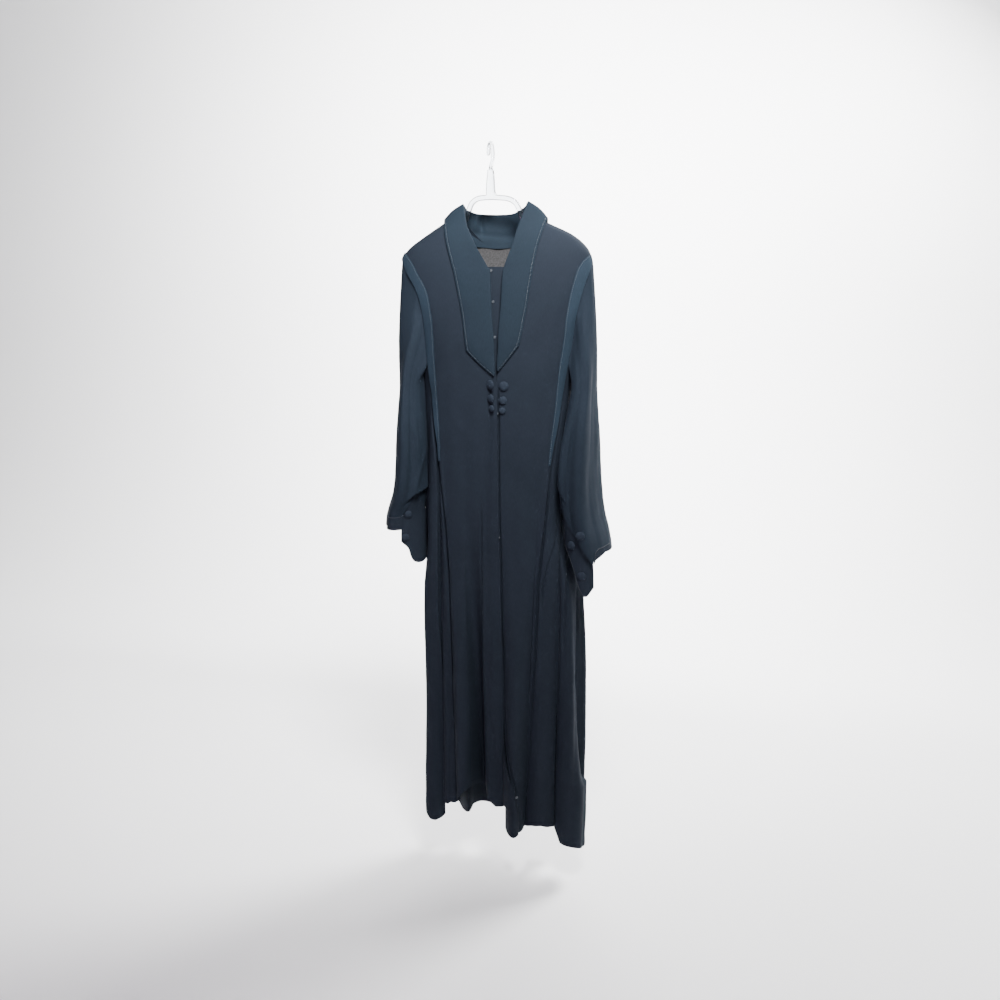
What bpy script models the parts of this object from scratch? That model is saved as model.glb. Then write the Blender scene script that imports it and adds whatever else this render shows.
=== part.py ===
"""Full-length open-front abaya cloak hanging on a clear moulded hanger.

Metres, +Z up. The wearer's front faces -Y and +X is the wearer's left, so "left" below
means the side at -X. The origin is the point where the hanger's hook rests on a rail.

Every body panel lies on one surface, body(p, z): p runs round the garment, 0 at the front
centre, +-0.5 at the sides and +-1 at the back centre, and z is the height.
"""
import math

import bmesh
import bpy
import numpy as np
from mathutils import Vector
from mathutils.bvhtree import BVHTree

# ---------------------------------------------------------------- driving dimensions
CLOTH = 0.0018            # one layer of cloth
SEAM_GAP = 0.0003         # between two pieces sewn edge to edge
LAY_GAP = 0.0006          # between a panel and what is laid on it
LAP_GAP = 0.0012          # between the two fronts where they lap
LAP_GAP_HEM = 0.0032      # and how much more at the hem, where the flutes curve
LAP_GAP_Z = (-1.000, -1.500)
GARMENT_X = 0.0095        # the garment's centre plane, beside the hook
SQUARE = 2.4              # squareness of a body section: 2 is an ellipse
TIP_Z = -0.262            # below this height the panels are cut on level rows
PLEAT_Z = -0.470          # the flutes begin here
HEM_Z = -1.550            # their edges reach the hem's places here
HEM_OVER = 1.1            # and run on to the lowest points of the hem
FLUTE_FULL_Z = -1.660     # a flute would reach its whole depth here
UNDERARM_Z = -0.487
PANEL_TOP_Z = -0.455      # top of the side panels at the princess seams
STEP_ROUND = 0.003        # steps for slopes of the surface: round it, in p, and down it
STEP_DOWN = 0.002
LAP_BAND = (0.022, 0.004) # the left front rises from the first to the second, inside the right's edge
LAP_Z = (-0.500, -0.580)  # and takes its full rise between these heights

# Body sections: x of the left and right extreme, depth of front and back at the centre.
SECTIONS = {
    "z":     (-0.138, -0.157, -0.183, -0.212, -0.235, -0.262, -0.300, -0.350, -0.400,
              -0.453, -0.500, -0.600, -0.740, -0.850, -0.950, -1.050, -1.300, -1.620),
    "left":  (-0.080, -0.109, -0.150, -0.191, -0.207, -0.210, -0.205, -0.190, -0.174,
              -0.166, -0.162, -0.159, -0.161, -0.158, -0.155, -0.154, -0.142, -0.132),
    "right": (0.080, 0.112, 0.168, 0.202, 0.211, 0.214, 0.210, 0.199, 0.187,
              0.180, 0.174, 0.168, 0.166, 0.166, 0.198, 0.210, 0.206, 0.200),
    "front": (0.008, 0.020, 0.034, 0.044, 0.050, 0.055, 0.060, 0.065, 0.069,
              0.071, 0.072, 0.072, 0.069, 0.066, 0.064, 0.062, 0.058, 0.054),
    "back":  (0.008, 0.020, 0.033, 0.042, 0.046, 0.049, 0.051, 0.053, 0.054,
              0.054, 0.054, 0.054, 0.054, 0.054, 0.054, 0.054, 0.054, 0.054),
}

# Front edges, x against z. Above the V point the front's edge lies under its lapel.
LEFT_EDGE = {
    "z": (-0.142, -0.157, -0.200, -0.269, -0.351, -0.414, -0.432, -0.462, -0.480,
          -0.490, -0.520, -0.574, -0.768, -0.931, -1.090, -1.215, -1.293, -1.392, -1.470, -1.540),
    "x": (-0.074, -0.094, -0.084, -0.063, -0.044, -0.036, -0.030, 0.001, 0.0145,
          0.0180, 0.0195, 0.021, 0.022, 0.026, 0.029, 0.035, 0.038, 0.048, 0.066, 0.074),
}
RIGHT_EDGE = {
    "z": (-0.142, -0.157, -0.200, -0.269, -0.351, -0.410, -0.425, -0.450, -0.470,
          -0.574, -0.768, -0.931, -1.090, -1.300, -1.430, -1.620),
    "x": (0.074, 0.096, 0.090, 0.076, 0.064, 0.058, 0.052, 0.030, 0.0215,
          0.0225, 0.014, 0.014, 0.016, 0.024, 0.036, 0.052),
}
# Armhole edge of the front down to the side panel, then the princess seam to the hem.
LEFT_PRINCESS = {
    "z": (-0.235, -0.252, -0.300, -0.345, -0.392, -0.455, -0.584, -0.781, -0.946,
          -1.108, -1.253, -1.410, -1.620),
    "x": (-0.207, -0.199, -0.168, -0.154, -0.148, -0.143, -0.126, -0.106, -0.094,
          -0.088, -0.086, -0.080, -0.076),
}
RIGHT_PRINCESS = {
    "z": (-0.243, -0.266, -0.300, -0.350, -0.392, -0.455, -0.570, -0.666, -0.821,
          -0.928, -1.087, -1.203, -1.291, -1.430, -1.620),
    "x": (0.2125, 0.206, 0.196, 0.184, 0.178, 0.168, 0.151, 0.136, 0.122,
          0.112, 0.108, 0.103, 0.097, 0.090, 0.081),
}
TIP = {-1: -0.235, 1: -0.243}    # height of the shoulder tips
# Back armhole edge and back seam, as the same share of the section's width on both sides.
BACK_SEAM = {
    "z": (-0.235, -0.262, -0.300, -0.350, -0.400, -0.455, -0.600, -0.900, -1.620),
    "share": (0.995, 0.960, 0.890, 0.840, 0.830, 0.860, 0.840, 0.800, 0.760),
}

# Flutes across the front: both edges in x at the top and at the hem, depth at the hem.
FRONT_FLUTES = (
    # (left top, left hem, right top, right hem, depth, start z)
    (-0.140, -0.166, -0.118, -0.120, 0.042, -0.520),
    (-0.118, -0.120, -0.112, -0.078, 0.014, -0.560),
    (-0.112, -0.078, -0.070, -0.042, 0.024, -0.800),
    (-0.070, -0.042, -0.030, -0.006, -0.060, -0.900),
    (-0.030, -0.006, 0.021, 0.055, 0.012, -0.900),
    (0.021, 0.055, 0.120, 0.084, 0.040, -0.700),
    (0.120, 0.084, 0.153, 0.157, 0.026, -0.620),
    (0.153, 0.157, 0.162, 0.204, 0.052, -0.800),
)
# Flutes round the sides and back: edges in p, depth at the hem (the same left and right).
ROUND_FLUTES = (
    # (near edge, far edge, depth, start z)
    (0.470, 0.590, 0.030, -0.900),
    (0.590, 0.690, -0.030, -0.900),
    (0.690, 0.790, 0.036, -0.700),
    (0.790, 0.860, -0.026, -0.700),
    (0.860, 1.000, 0.030, -0.600),
)
# Hem height against p.
HEM = {
    "p": (-1.000, -0.800, -0.600, -0.450, -0.324, -0.296, -0.262, -0.190, -0.150, -0.090, -0.062,
          -0.030, 0.020, 0.056, 0.088, 0.112, 0.152, 0.194, 0.262, 0.286, 0.344, 0.382, 0.452,
          0.600, 0.800, 1.000),
    "z": (-1.600, -1.604, -1.608, -1.606, -1.591, -1.598, -1.572, -1.538, -1.540, -1.554, -1.500,
          -1.530, -1.590, -1.599, -1.587, -1.594, -1.575, -1.571, -1.587, -1.618, -1.625, -1.626,
          -1.643, -1.626, -1.606, -1.600),
}
LEFT_LAP = {"p": (-0.400, -0.324, -0.296, -0.262, -0.190, -0.150, -0.090, -0.062, -0.002, 0.016,
                  0.032, 0.062),
            "z": (-1.600, -1.591, -1.598, -1.572, -1.538, -1.540, -1.554, -1.502, -1.518, -1.534,
                  -1.533, -1.520)}

# Left and right lapel: roll line (inner edge) and outer edge, each as x and z.
LAPEL_LEFT = (
    # (roll x, roll z, edge x, edge z)
    (0.0150, -0.4750, 0.0120, -0.4790),
    (0.0140, -0.4600, -0.0050, -0.4660),
    (0.0120, -0.4250, -0.0440, -0.4300),
    (0.0110, -0.4060, -0.0500, -0.4140),
    (0.0040, -0.3300, -0.0600, -0.3450),
    (0.0000, -0.2620, -0.0770, -0.2690),
    (-0.0070, -0.2480, -0.0840, -0.2450),
    (-0.0370, -0.2020, -0.0980, -0.2020),
    (-0.0560, -0.1690, -0.1070, -0.1690),
)
LAPEL_RIGHT = (
    (0.0200, -0.4640, 0.0240, -0.4680),
    (0.0205, -0.4480, 0.0400, -0.4480),
    (0.0225, -0.4120, 0.0625, -0.4180),
    (0.0230, -0.4020, 0.0685, -0.4050),
    (0.0270, -0.3300, 0.0810, -0.3400),
    (0.0290, -0.2740, 0.0900, -0.2740),
    (0.0320, -0.2500, 0.0940, -0.2450),
    (0.0470, -0.2060, 0.1010, -0.2060),
    (0.0560, -0.1690, 0.1100, -0.1690),
)
# Collar round the back of the neck: roll line and outer edge, left shoulder to right.
COLLAR_ROLL = (
    (-0.0710, -0.0020, -0.1210), (-0.0680, 0.0160, -0.1300), (-0.0520, 0.0360, -0.1400),
    (-0.0250, 0.0480, -0.1460), (0.0050, 0.0520, -0.1470), (0.0320, 0.0460, -0.1420),
    (0.0540, 0.0330, -0.1330), (0.0680, 0.0150, -0.1250), (0.0720, -0.0020, -0.1170),
)
COLLAR_EDGE_Z = (-0.1560, -0.1700, -0.1930, -0.2140, -0.2220, -0.2140, -0.1930, -0.1700, -0.1540)
COLLAR_EDGE_X = (-0.1120, -0.1060, -0.0840, -0.0440, 0.0000, 0.0440, 0.0860, 0.1080, 0.1150)
NECK_SEAM = (   # lower edge of the collar stand
    (-0.0735, -0.0010, -0.1420), (-0.0690, 0.0120, -0.1570), (-0.0560, 0.0240, -0.1850),
    (-0.0300, 0.0335, -0.2060), (0.0000, 0.0360, -0.2135), (0.0300, 0.0335, -0.2060),
    (0.0560, 0.0240, -0.1850), (0.0690, 0.0120, -0.1570), (0.0735, -0.0010, -0.1400),
)

NECK_DROP_Z = -0.210      # back neckline at the centre
NECK_X = 0.0780           # neck end of the shoulder seam
NECK_Z = -0.1400
NECK_CURVE = 2.2          # how round the neckline is

# Sleeve sections below the armhole: centre, half sizes, turn of the long axis in degrees,
# and the height and place of the pressed front crease.
SLEEVE_LEFT = {
    "z":      (-0.505, -0.600, -0.700, -0.760, -0.812, -0.930),
    "x":      (-0.187, -0.190, -0.193, -0.199, -0.208, -0.2110),
    "y":      (-0.018, -0.024, -0.026, -0.024, -0.020, -0.020),
    "across": (0.0250, 0.0320, 0.0350, 0.0370, 0.0430, 0.0490),
    "along":  (0.0500, 0.0530, 0.0550, 0.0560, 0.0560, 0.0560),
    "turn":   (8.0, 14.0, 14.0, 10.0, 2.0, 0.0),
    "crease": (0.002, 0.008, 0.010, 0.010, 0.006, 0.004),
    "crease_at": (68.0, 68.0, 68.0, 68.0, 68.0, 68.0),
}
SLEEVE_RIGHT = {
    "z":      (-0.505, -0.600, -0.700, -0.780, -0.850, -0.980),
    "x":      (0.202, 0.201, 0.202, 0.208, 0.2200, 0.2240),
    "y":      (-0.014, -0.020, -0.024, -0.026, -0.028, -0.028),
    "across": (0.0245, 0.0310, 0.0345, 0.0405, 0.0485, 0.0505),
    "along":  (0.0500, 0.0560, 0.0600, 0.0620, 0.0620, 0.0620),
    "turn":   (-10.0, -22.0, -28.0, -30.0, -30.0, -30.0),
    "crease": (0.002, 0.010, 0.012, 0.012, 0.008, 0.004),
    "crease_at": (50.0, 50.0, 50.0, 50.0, 50.0, 50.0),
}
CREASE_WIDTH = 0.35       # half width of the crease, radians round the sleeve
# Sleeve ends, by angle in degrees round the sleeve (0 outwards, 90 the front): where the
# sleeve's own cloth stops, where the cuff stops, and the button strip's top and foot.
SLEEVE_END = {
    -1: {"angle": (96.0, 105.0, 118.0, 130.0, 150.0, 168.0, 176.0, 230.0, 360.0, 440.0, 456.0),
         "z": (-0.802, -0.785, -0.765, -0.757, -0.775, -0.800, -0.813, -0.815, -0.811, -0.804,
               -0.802)},
    1: {"angle": (40.0, 62.0, 90.0, 112.0, 135.0, 168.0, 176.0, 220.0, 360.0, 385.0, 392.0, 400.0),
        "z": (-0.892, -0.842, -0.797, -0.768, -0.795, -0.820, -0.842, -0.846, -0.850, -0.853,
              -0.860, -0.892)},
}
CUFF_LOW = {
    -1: {"angle": (176.0, 230.0, 360.0, 440.0, 459.0),
         "z": (-0.840, -0.842, -0.837, -0.839, -0.838)},
    1: {"angle": (176.0, 220.0, 300.0, 360.0, 392.0),
        "z": (-0.868, -0.872, -0.872, -0.867, -0.878)},
}
STRIP = {
    -1: {"angle": (97.0, 106.0, 114.0, 120.0, 125.0, 134.0, 150.0, 172.0, 195.0),
         "top": (-0.794, -0.776, -0.763, -0.756, -0.750, -0.748, -0.762, -0.795, -0.800),
         "foot": (-0.868, -0.875, -0.881, -0.889, -0.905, -0.918, -0.9235, -0.920, -0.910)},
    1: {"angle": (34.0, 42.0, 51.0, 62.0, 76.0, 90.0, 105.0, 120.0, 150.0),
        "top": (-0.884, -0.878, -0.862, -0.832, -0.809, -0.787, -0.764, -0.764, -0.790),
        "foot": (-0.940, -0.951, -0.964, -0.946, -0.922, -0.898, -0.879, -0.864, -0.846)},
}
STRIP_SET = {-1: 0.0026, 1: 0.0034}    # how far the strip lies inside the sleeve's surface
# Columns of the sleeve, in degrees; they pass through every corner of the tables above.
SLEEVE_ANGLES = {
    -1: (0, 16, 34, 52, 68, 80, 96, 105, 118, 130, 150, 168, 176, 192, 210, 230, 250, 270, 288,
         306, 324, 340, 352),
    1: (0, 14, 25, 32, 40, 51, 62, 76, 90, 112, 135, 152, 168, 176, 195, 212, 230, 250, 270, 288,
        306, 324, 340, 352),
}

# Covered buttons: x and z on the front panels, diameter.
BUTTON_STEPS = 12
FRONT_BUTTONS = (
    ("left_1", 0.0065, -0.497, 0.021), ("left_2", 0.0075, -0.527, 0.018),
    ("left_3", 0.0095, -0.549, 0.015), ("right_1", 0.0350, -0.500, 0.021),
    ("right_2", 0.0330, -0.531, 0.018), ("right_3", 0.0320, -0.554, 0.015),
)
# On the sleeves: side, angle, height, diameter, and the piece that carries each.
CUFF_BUTTONS = (
    ("left_1", -1, 114.0, -0.803, 0.0185, "cuff_flap_left"),
    ("left_2", -1, 110.0, -0.858, 0.0185, "cuff_flap_left"),
    ("right_1", 1, 56.0, -0.820, 0.0200, "sleeve_right"),
    ("right_2", 1, 90.0, -0.849, 0.0200, "cuff_flap_right"),
    ("right_3", 1, 62.0, -0.915, 0.0200, "cuff_flap_right"),
)
BUTTON_DOME = 0.0045
BUTTON_RIM = 0.0012       # height of the widest point
BUTTON_FOOT = 0.80        # the flat underside's share of the width
BUTTON_ROUND = (58.0, 28.0)     # degrees of the points round the dome
BUTTON_CLEAR = 0.030      # the seat is looked for within this of the button's place

# Under-placket: left and right edge in x, and how far it lies behind the body's surface.
PLACKET = {
    "z":     (-0.2480, -0.3300, -0.4300, -0.4720, -0.5000, -0.7680, -1.0900, -1.3000, -1.4900),
    "left":  (-0.0070, -0.0030, 0.0030, 0.0050, 0.0060, 0.0050, 0.0080, 0.0160, 0.0420),
    "right": (0.0370, 0.0360, 0.0370, 0.0390, 0.0400, 0.0380, 0.0390, 0.0460, 0.0640),
    "set":   (0.0075, 0.0075, 0.0075, 0.0065, 0.0036, 0.0036, 0.0060, 0.0100, 0.0125),
}

# Hanger, in its own plane: each side's centre line down to the neck's corner; the arms
# follow the shoulders from there. Sizes of the neck and the hook.
HANGER_DEPTH = 0.007
HANGER_HALF = 0.0055
HANGER_LINE = {
    -1: ((0.000, -0.1060), (-0.026, -0.1085), (-0.040, -0.1170), (-0.0470, -0.1310),
         (-0.0530, -0.1500), (-0.0680, -0.1680)),
    1: ((0.000, -0.1060), (0.034, -0.1085), (0.052, -0.1160), (0.0620, -0.1310),
        (0.0700, -0.1500), (0.0860, -0.1670)),
}
HANGER_ARM_END = {-1: -0.165, 1: 0.178}
HANGER_DROP = 0.0075      # the arms' top edge below the shoulder's ridge
HANGER_NECK = ((0.0100, -0.0930), (0.0085, -0.0700), (0.0065, -0.0500))
HOOK_RADIUS = 0.0215      # of the hook's centre line
HOOK_WIRE = 0.0040        # radius of the hook's bar

COLOURS = {
    "body": (0.021, 0.036, 0.050), "contrast": (0.045, 0.078, 0.112),
    "patch": (0.24, 0.22, 0.235), "clear": (0.80, 0.84, 0.86), "placket": (0.020, 0.032, 0.046),
}


# ---------------------------------------------------------------- scene and materials
def clear_scene():
    for item in list(bpy.data.objects):
        bpy.data.objects.remove(item, do_unlink=True)


def material(name, colour, roughness, alpha=1.0):
    mat = bpy.data.materials.new(name)
    mat.use_nodes = True
    shader = mat.node_tree.nodes["Principled BSDF"]
    shader.inputs["Base Color"].default_value = (*colour, 1.0)
    shader.inputs["Roughness"].default_value = roughness
    shader.inputs["Metallic"].default_value = 0.0
    shader.inputs["Alpha"].default_value = alpha
    return mat


def add_object(name, mesh, mat):
    item = bpy.data.objects.new(name, mesh)
    item.data.materials.append(mat)
    PARTS.objects.link(item)
    return item


# ---------------------------------------------------------------- the body's surface
def smooth(table, key, z, along="z"):
    """The table's column as a smooth curve (cubic, with slopes from the rows beside)."""
    knots = np.asarray(table[along], float)
    values = np.asarray(table[key], float)
    if knots[0] > knots[-1]:
        knots, values = knots[::-1], values[::-1]
    step = np.diff(values) / np.diff(knots)
    slope = np.concatenate(([step[0]], (step[:-1] + step[1:]) / 2, [step[-1]]))
    z = np.clip(np.asarray(z, float), knots[0], knots[-1])
    i = np.clip(np.searchsorted(knots, z, side="right") - 1, 0, len(knots) - 2)
    width = knots[i + 1] - knots[i]
    t = (z - knots[i]) / width
    return ((2 * t**3 - 3 * t**2 + 1) * values[i] + (t**3 - 2 * t**2 + t) * width * slope[i]
            + (3 * t**2 - 2 * t**3) * values[i + 1] + (t**3 - t**2) * width * slope[i + 1])


def ramp(value, start, end):
    """0 at start, 1 at end, eased."""
    t = np.clip((value - start) / (end - start), 0.0, 1.0)
    return t * t * (3 - 2 * t)


def half_width(x_or_p, z):
    return np.where(x_or_p < 0, -smooth(SECTIONS, "left", z), smooth(SECTIONS, "right", z))


def p_at(x, z, back=False):
    """The place round the garment of a point at x, on the front or the back."""
    share = np.clip(np.abs(x) / half_width(x, z), 0.0, 1.0)
    p = np.arcsin(share ** (SQUARE / 2)) / math.pi
    return np.sign(x) * ((1.0 - p) if back else p)


def plain(p, z):
    """The body without flutes."""
    angle = np.abs(p) * math.pi
    x = np.sign(p) * half_width(p, z) * np.abs(np.sin(angle)) ** (2 / SQUARE)
    depth = np.where(angle < math.pi / 2, -smooth(SECTIONS, "front", z), smooth(SECTIONS, "back", z))
    return x, depth * np.abs(np.cos(angle)) ** (2 / SQUARE)


def flute(p, edges, depth, z, start):
    """A rounded flute between two lines; it deepens from its start down to the hem."""
    near, far = edges
    t = np.clip((p - near) / np.maximum(far - near, 1e-6), 0.0, 1.0)
    return depth * np.sin(math.pi * t) ** 0.9 * ramp(z, start, FLUTE_FULL_Z) ** 0.8


def flute_depth(p, z):
    total = np.zeros_like(p)
    fall = np.clip((PLEAT_Z - z) / (PLEAT_Z - HEM_Z), 0.0, HEM_OVER)
    for left_top, left_hem, right_top, right_hem, depth, start in FRONT_FLUTES:
        left = p_at(left_top + (left_hem - left_top) * fall, z)
        right = p_at(right_top + (right_hem - right_top) * fall, z)
        total += flute(p, (left, right), depth, z, start)
    for near, far, depth, start in ROUND_FLUTES:
        total += flute(np.abs(p), (near, far), depth, z, start)
    return total


def body_point(p, z):
    p, z = np.broadcast_arrays(np.asarray(p, float), np.asarray(z, float))
    x, y = plain(p, z)
    x_next, y_next = plain(p + STEP_ROUND, z)
    x_last, y_last = plain(p - STEP_ROUND, z)
    length = np.hypot(x_next - x_last, y_next - y_last) + 1e-12
    depth = flute_depth(p, z)
    x = x + (y_next - y_last) / length * depth
    y = y - (x_next - x_last) / length * depth
    return np.stack([x + GARMENT_X, y, z], axis=-1)


def body_normal(p, z):
    """Outward normal of the surface, from points a little way round and down."""
    p, z = np.broadcast_arrays(np.asarray(p, float), np.asarray(z, float))
    around = body_point(p + STEP_ROUND, z) - body_point(p - STEP_ROUND, z)
    down = body_point(p, z - STEP_DOWN) - body_point(p, z + STEP_DOWN)
    normal = np.cross(down, around)
    return normal / (np.linalg.norm(normal, axis=-1, keepdims=True) + 1e-12)


# ---------------------------------------------------------------- grids and walls
def spread(p0, p1, z, columns, gap0=SEAM_GAP / 2, gap1=SEAM_GAP / 2):
    """Places from p0 to p1 at height z, evenly spaced along the cloth."""
    fine = np.linspace(p0, p1, 160)
    points = body_point(fine, z)
    run = np.concatenate(([0.0], np.cumsum(np.linalg.norm(np.diff(points, axis=0), axis=1))))
    return np.interp(np.linspace(gap0, run[-1] - gap1, columns), run, fine)


def wall(name, outer, inner, mat):
    """A closed wall between two matching grids of points, rows by columns."""
    rows, columns = outer.shape[:2]
    bm = bmesh.new()
    grids = [[[bm.verts.new(point) for point in row] for row in grid] for grid in (outer, inner)]
    out, inn = grids
    for i in range(rows - 1):
        for j in range(columns - 1):
            bm.faces.new((out[i][j], out[i + 1][j], out[i + 1][j + 1], out[i][j + 1]))
            bm.faces.new((inn[i][j], inn[i][j + 1], inn[i + 1][j + 1], inn[i + 1][j]))
    for i in range(rows - 1):
        bm.faces.new((out[i][0], inn[i][0], inn[i + 1][0], out[i + 1][0]))
        bm.faces.new((out[i][-1], out[i + 1][-1], inn[i + 1][-1], inn[i][-1]))
    for j in range(columns - 1):
        bm.faces.new((out[0][j], out[0][j + 1], inn[0][j + 1], inn[0][j]))
        bm.faces.new((out[-1][j], inn[-1][j], inn[-1][j + 1], out[-1][j + 1]))
    return finish_mesh(name, bm, mat)


def tube_wall(name, outer, inner, mat):
    """The same for a tube: the columns close on themselves, the two ends stay open."""
    rows, columns = outer.shape[:2]
    bm = bmesh.new()
    out, inn = [[[bm.verts.new(point) for point in row] for row in grid] for grid in (outer, inner)]
    for i in range(rows - 1):
        for j in range(columns):
            k = (j + 1) % columns
            bm.faces.new((out[i][j], out[i + 1][j], out[i + 1][k], out[i][k]))
            bm.faces.new((inn[i][j], inn[i][k], inn[i + 1][k], inn[i + 1][j]))
    for j in range(columns):
        k = (j + 1) % columns
        bm.faces.new((out[0][j], out[0][k], inn[0][k], inn[0][j]))
        bm.faces.new((out[-1][j], inn[-1][j], inn[-1][k], out[-1][k]))
    return finish_mesh(name, bm, mat)


def finish_mesh(name, bm, mat):
    bmesh.ops.triangulate(bm, faces=bm.faces[:])
    bmesh.ops.recalc_face_normals(bm, faces=bm.faces[:])
    mesh = bpy.data.meshes.new(name)
    bm.to_mesh(mesh)
    bm.free()
    mesh.shade_smooth()
    mesh.set_sharp_from_angle(angle=math.radians(50))
    return add_object(name, mesh, mat)


def body_wall(name, p, z, mat, raise_by=0.0, thickness=CLOTH):
    """A wall on the body's surface at the grid of places p and heights z."""
    points = body_point(p, z)
    normals = body_normal(p, z)
    raise_by = np.asarray(raise_by)[..., None] if np.ndim(raise_by) else raise_by
    outer = points + normals * raise_by
    return wall(name, outer, outer - normals * thickness, mat)


# ---------------------------------------------------------------- body panels
LEVELS = (TIP_Z, -0.300, -0.345, -0.395, PANEL_TOP_Z, -0.480, -0.530, -0.600, -0.680, -0.760,
          -0.840, -0.920, -1.000, -1.080, -1.160, -1.240, -1.320, -1.400, -1.470)
YOKE_ROWS = 5
SHOULDER_P = 0.4985       # the fronts stop here at the shoulder seam, the back past the middle
UNDERARM_DIP = 0.62       # share of the drop to the underarm in the side panel's first row
UNDERARM_EASE = 0.012     # and how far its second row dips with it


def hem_z(p, lap=False):
    table = LEFT_LAP if lap else HEM
    return np.interp(p, table["p"], table["z"])


def princess(side, z):
    return smooth(LEFT_PRINCESS if side < 0 else RIGHT_PRINCESS, "x", z)


def front_edge(side, z):
    return smooth(LEFT_EDGE if side < 0 else RIGHT_EDGE, "x", z)


def back_seam_p(side, z):
    share = smooth(BACK_SEAM, "share", z)
    return side * (1.0 - np.arcsin(share ** (SQUARE / 2)) / math.pi)


def shoulder_z(x):
    """Height of the shoulder seam at x, from the sections' widths above the tip."""
    heights = np.linspace(SECTIONS["z"][0], TIP[1], 120)
    key = "left" if x < 0 else "right"
    return float(np.interp(abs(x), np.abs(smooth(SECTIONS, key, heights)), heights))


def add_hem(p_rows, z_rows, lap=False):
    """Adds the last row, straight below the one above it on the hem line."""
    last_p = p_rows[-1]
    z_rows.append(hem_z(last_p, lap))
    p_rows.append(last_p)
    return np.array(p_rows), np.array(z_rows)


def lap_lift(p, z):
    """Extra height of the left front where it laps over the right."""
    x, under = plain(p, z)[0], front_edge(1, z)
    gap = LAP_GAP + LAP_GAP_HEM * ramp(z, *LAP_GAP_Z)
    return (CLOTH + gap) * ramp(x, under - LAP_BAND[0], under - LAP_BAND[1]) * ramp(z, *LAP_Z)


def front_panel(side, columns, mat):
    """Front: shoulder seam, armhole, princess seam, hem and centre edge."""
    z_tip = TIP[side]
    tip_x = princess(side, z_tip)
    neck_x = side * (NECK_X + 0.004)
    top_x = np.linspace(neck_x, tip_x, columns)
    top_z = np.array([shoulder_z(x) for x in top_x])
    top_z[-1] = z_tip
    p_low = spread(float(p_at(front_edge(side, TIP_Z), TIP_Z)), float(p_at(princess(side, TIP_Z), TIP_Z)),
                   TIP_Z, columns)
    low_x = plain(p_low, TIP_Z)[0]
    p_rows, z_rows = [], []
    for share in np.linspace(0.0, 1.0, YOKE_ROWS + 1)[:-1]:
        z = top_z + (TIP_Z - top_z) * share
        x = top_x + (low_x - top_x) * share
        x = x + (front_edge(side, z[0]) - x[0]) * (1 - np.linspace(0, 1, columns)) ** 2 * (share > 0)
        p = np.minimum(np.abs(p_at(x, z)), SHOULDER_P) if share > 0 else np.full(columns, SHOULDER_P)
        p_rows.append(side * p)
        z_rows.append(z)
    for z in LEVELS:
        p0 = float(p_at(front_edge(side, z), z))
        p1 = float(p_at(princess(side, z), z))
        p_rows.append(spread(p0, p1, z, columns))
        z_rows.append(np.full(columns, z))
    p_grid, z_grid = add_hem(p_rows, z_rows, lap=side < 0)
    name = "front_left" if side < 0 else "front_right"
    lift = lap_lift(p_grid, z_grid) if side < 0 else 0.0
    return body_wall(name, p_grid, z_grid, mat, raise_by=lift), (p_grid, z_grid)


def side_panel(side, columns, mat):
    """Side panel: from the princess seam round the side to the back seam."""
    p_rows, z_rows = [], []
    for z in LEVELS[LEVELS.index(PANEL_TOP_Z):]:
        p0 = float(p_at(princess(side, z), z))
        p_rows.append(spread(p0, float(back_seam_p(side, z)), z, columns))
        z_rows.append(np.full(columns, z))
    dip = np.sin(np.linspace(0, math.pi, columns))
    z_rows[0] = PANEL_TOP_Z + (UNDERARM_Z - PANEL_TOP_Z) * dip * UNDERARM_DIP
    z_rows[1] = z_rows[1] - UNDERARM_EASE * dip
    p_grid, z_grid = add_hem(p_rows, z_rows)
    name = "side_left" if side < 0 else "side_right"
    return body_wall(name, p_grid, z_grid, mat), (p_grid, z_grid)


def wrap(p):
    """Places past the back centre, counted on from the other side."""
    return np.where(p > 1.0, p - 2.0, p)


def back_neck_z(x):
    """Height of the back neckline at x."""
    return NECK_Z + (NECK_DROP_Z - NECK_Z) * (1 - np.minimum(np.abs(x) / NECK_X, 1.0) ** NECK_CURVE)


def back_panel(columns, mat):
    """Back, in one piece: neckline, both shoulders, armholes, back seams and hem."""
    share_along = np.linspace(-1, 1, columns)
    tips = [float(plain(back_seam_p(s, TIP[s]), TIP[s])[0]) for s in (-1, 1)]
    top_x = np.where(share_along < 0, -tips[0], tips[1]) * share_along
    top_z = np.empty(columns)
    for j, x in enumerate(top_x):
        top_z[j] = back_neck_z(x) if abs(x) < NECK_X else shoulder_z(x)
    top_z[0], top_z[-1] = TIP[-1], TIP[1]

    def spread_back(z):
        left, right = float(back_seam_p(-1, z)) + 2.0, float(back_seam_p(1, z))
        fine = np.linspace(left, right, 320)
        points = body_point(wrap(fine), z)
        run = np.concatenate(([0.0], np.cumsum(np.linalg.norm(np.diff(points, axis=0), axis=1))))
        return wrap(np.interp(np.linspace(SEAM_GAP / 2, run[-1] - SEAM_GAP / 2, columns), run, fine))

    p_low = spread_back(TIP_Z)
    low_x = plain(p_low, TIP_Z)[0]
    p_rows, z_rows = [], []
    for share in np.linspace(0.0, 1.0, YOKE_ROWS + 1)[:-1]:
        z = top_z + (TIP_Z - top_z) * share
        x = top_x + (low_x - top_x) * share
        p = np.maximum(np.abs(p_at(x, z, back=True)), 1 - SHOULDER_P)
        if share == 0:
            p = np.where(np.abs(x) < NECK_X, p, 1 - SHOULDER_P)
        p_rows.append(np.where(x == 0, 1.0, np.sign(x) * p))
        z_rows.append(z)
    for z in LEVELS:
        p_rows.append(spread_back(z))
        z_rows.append(np.full(columns, z))
    p_grid, z_grid = add_hem(p_rows, z_rows)
    return body_wall("back", p_grid, z_grid, mat), (p_grid, z_grid)


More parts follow.
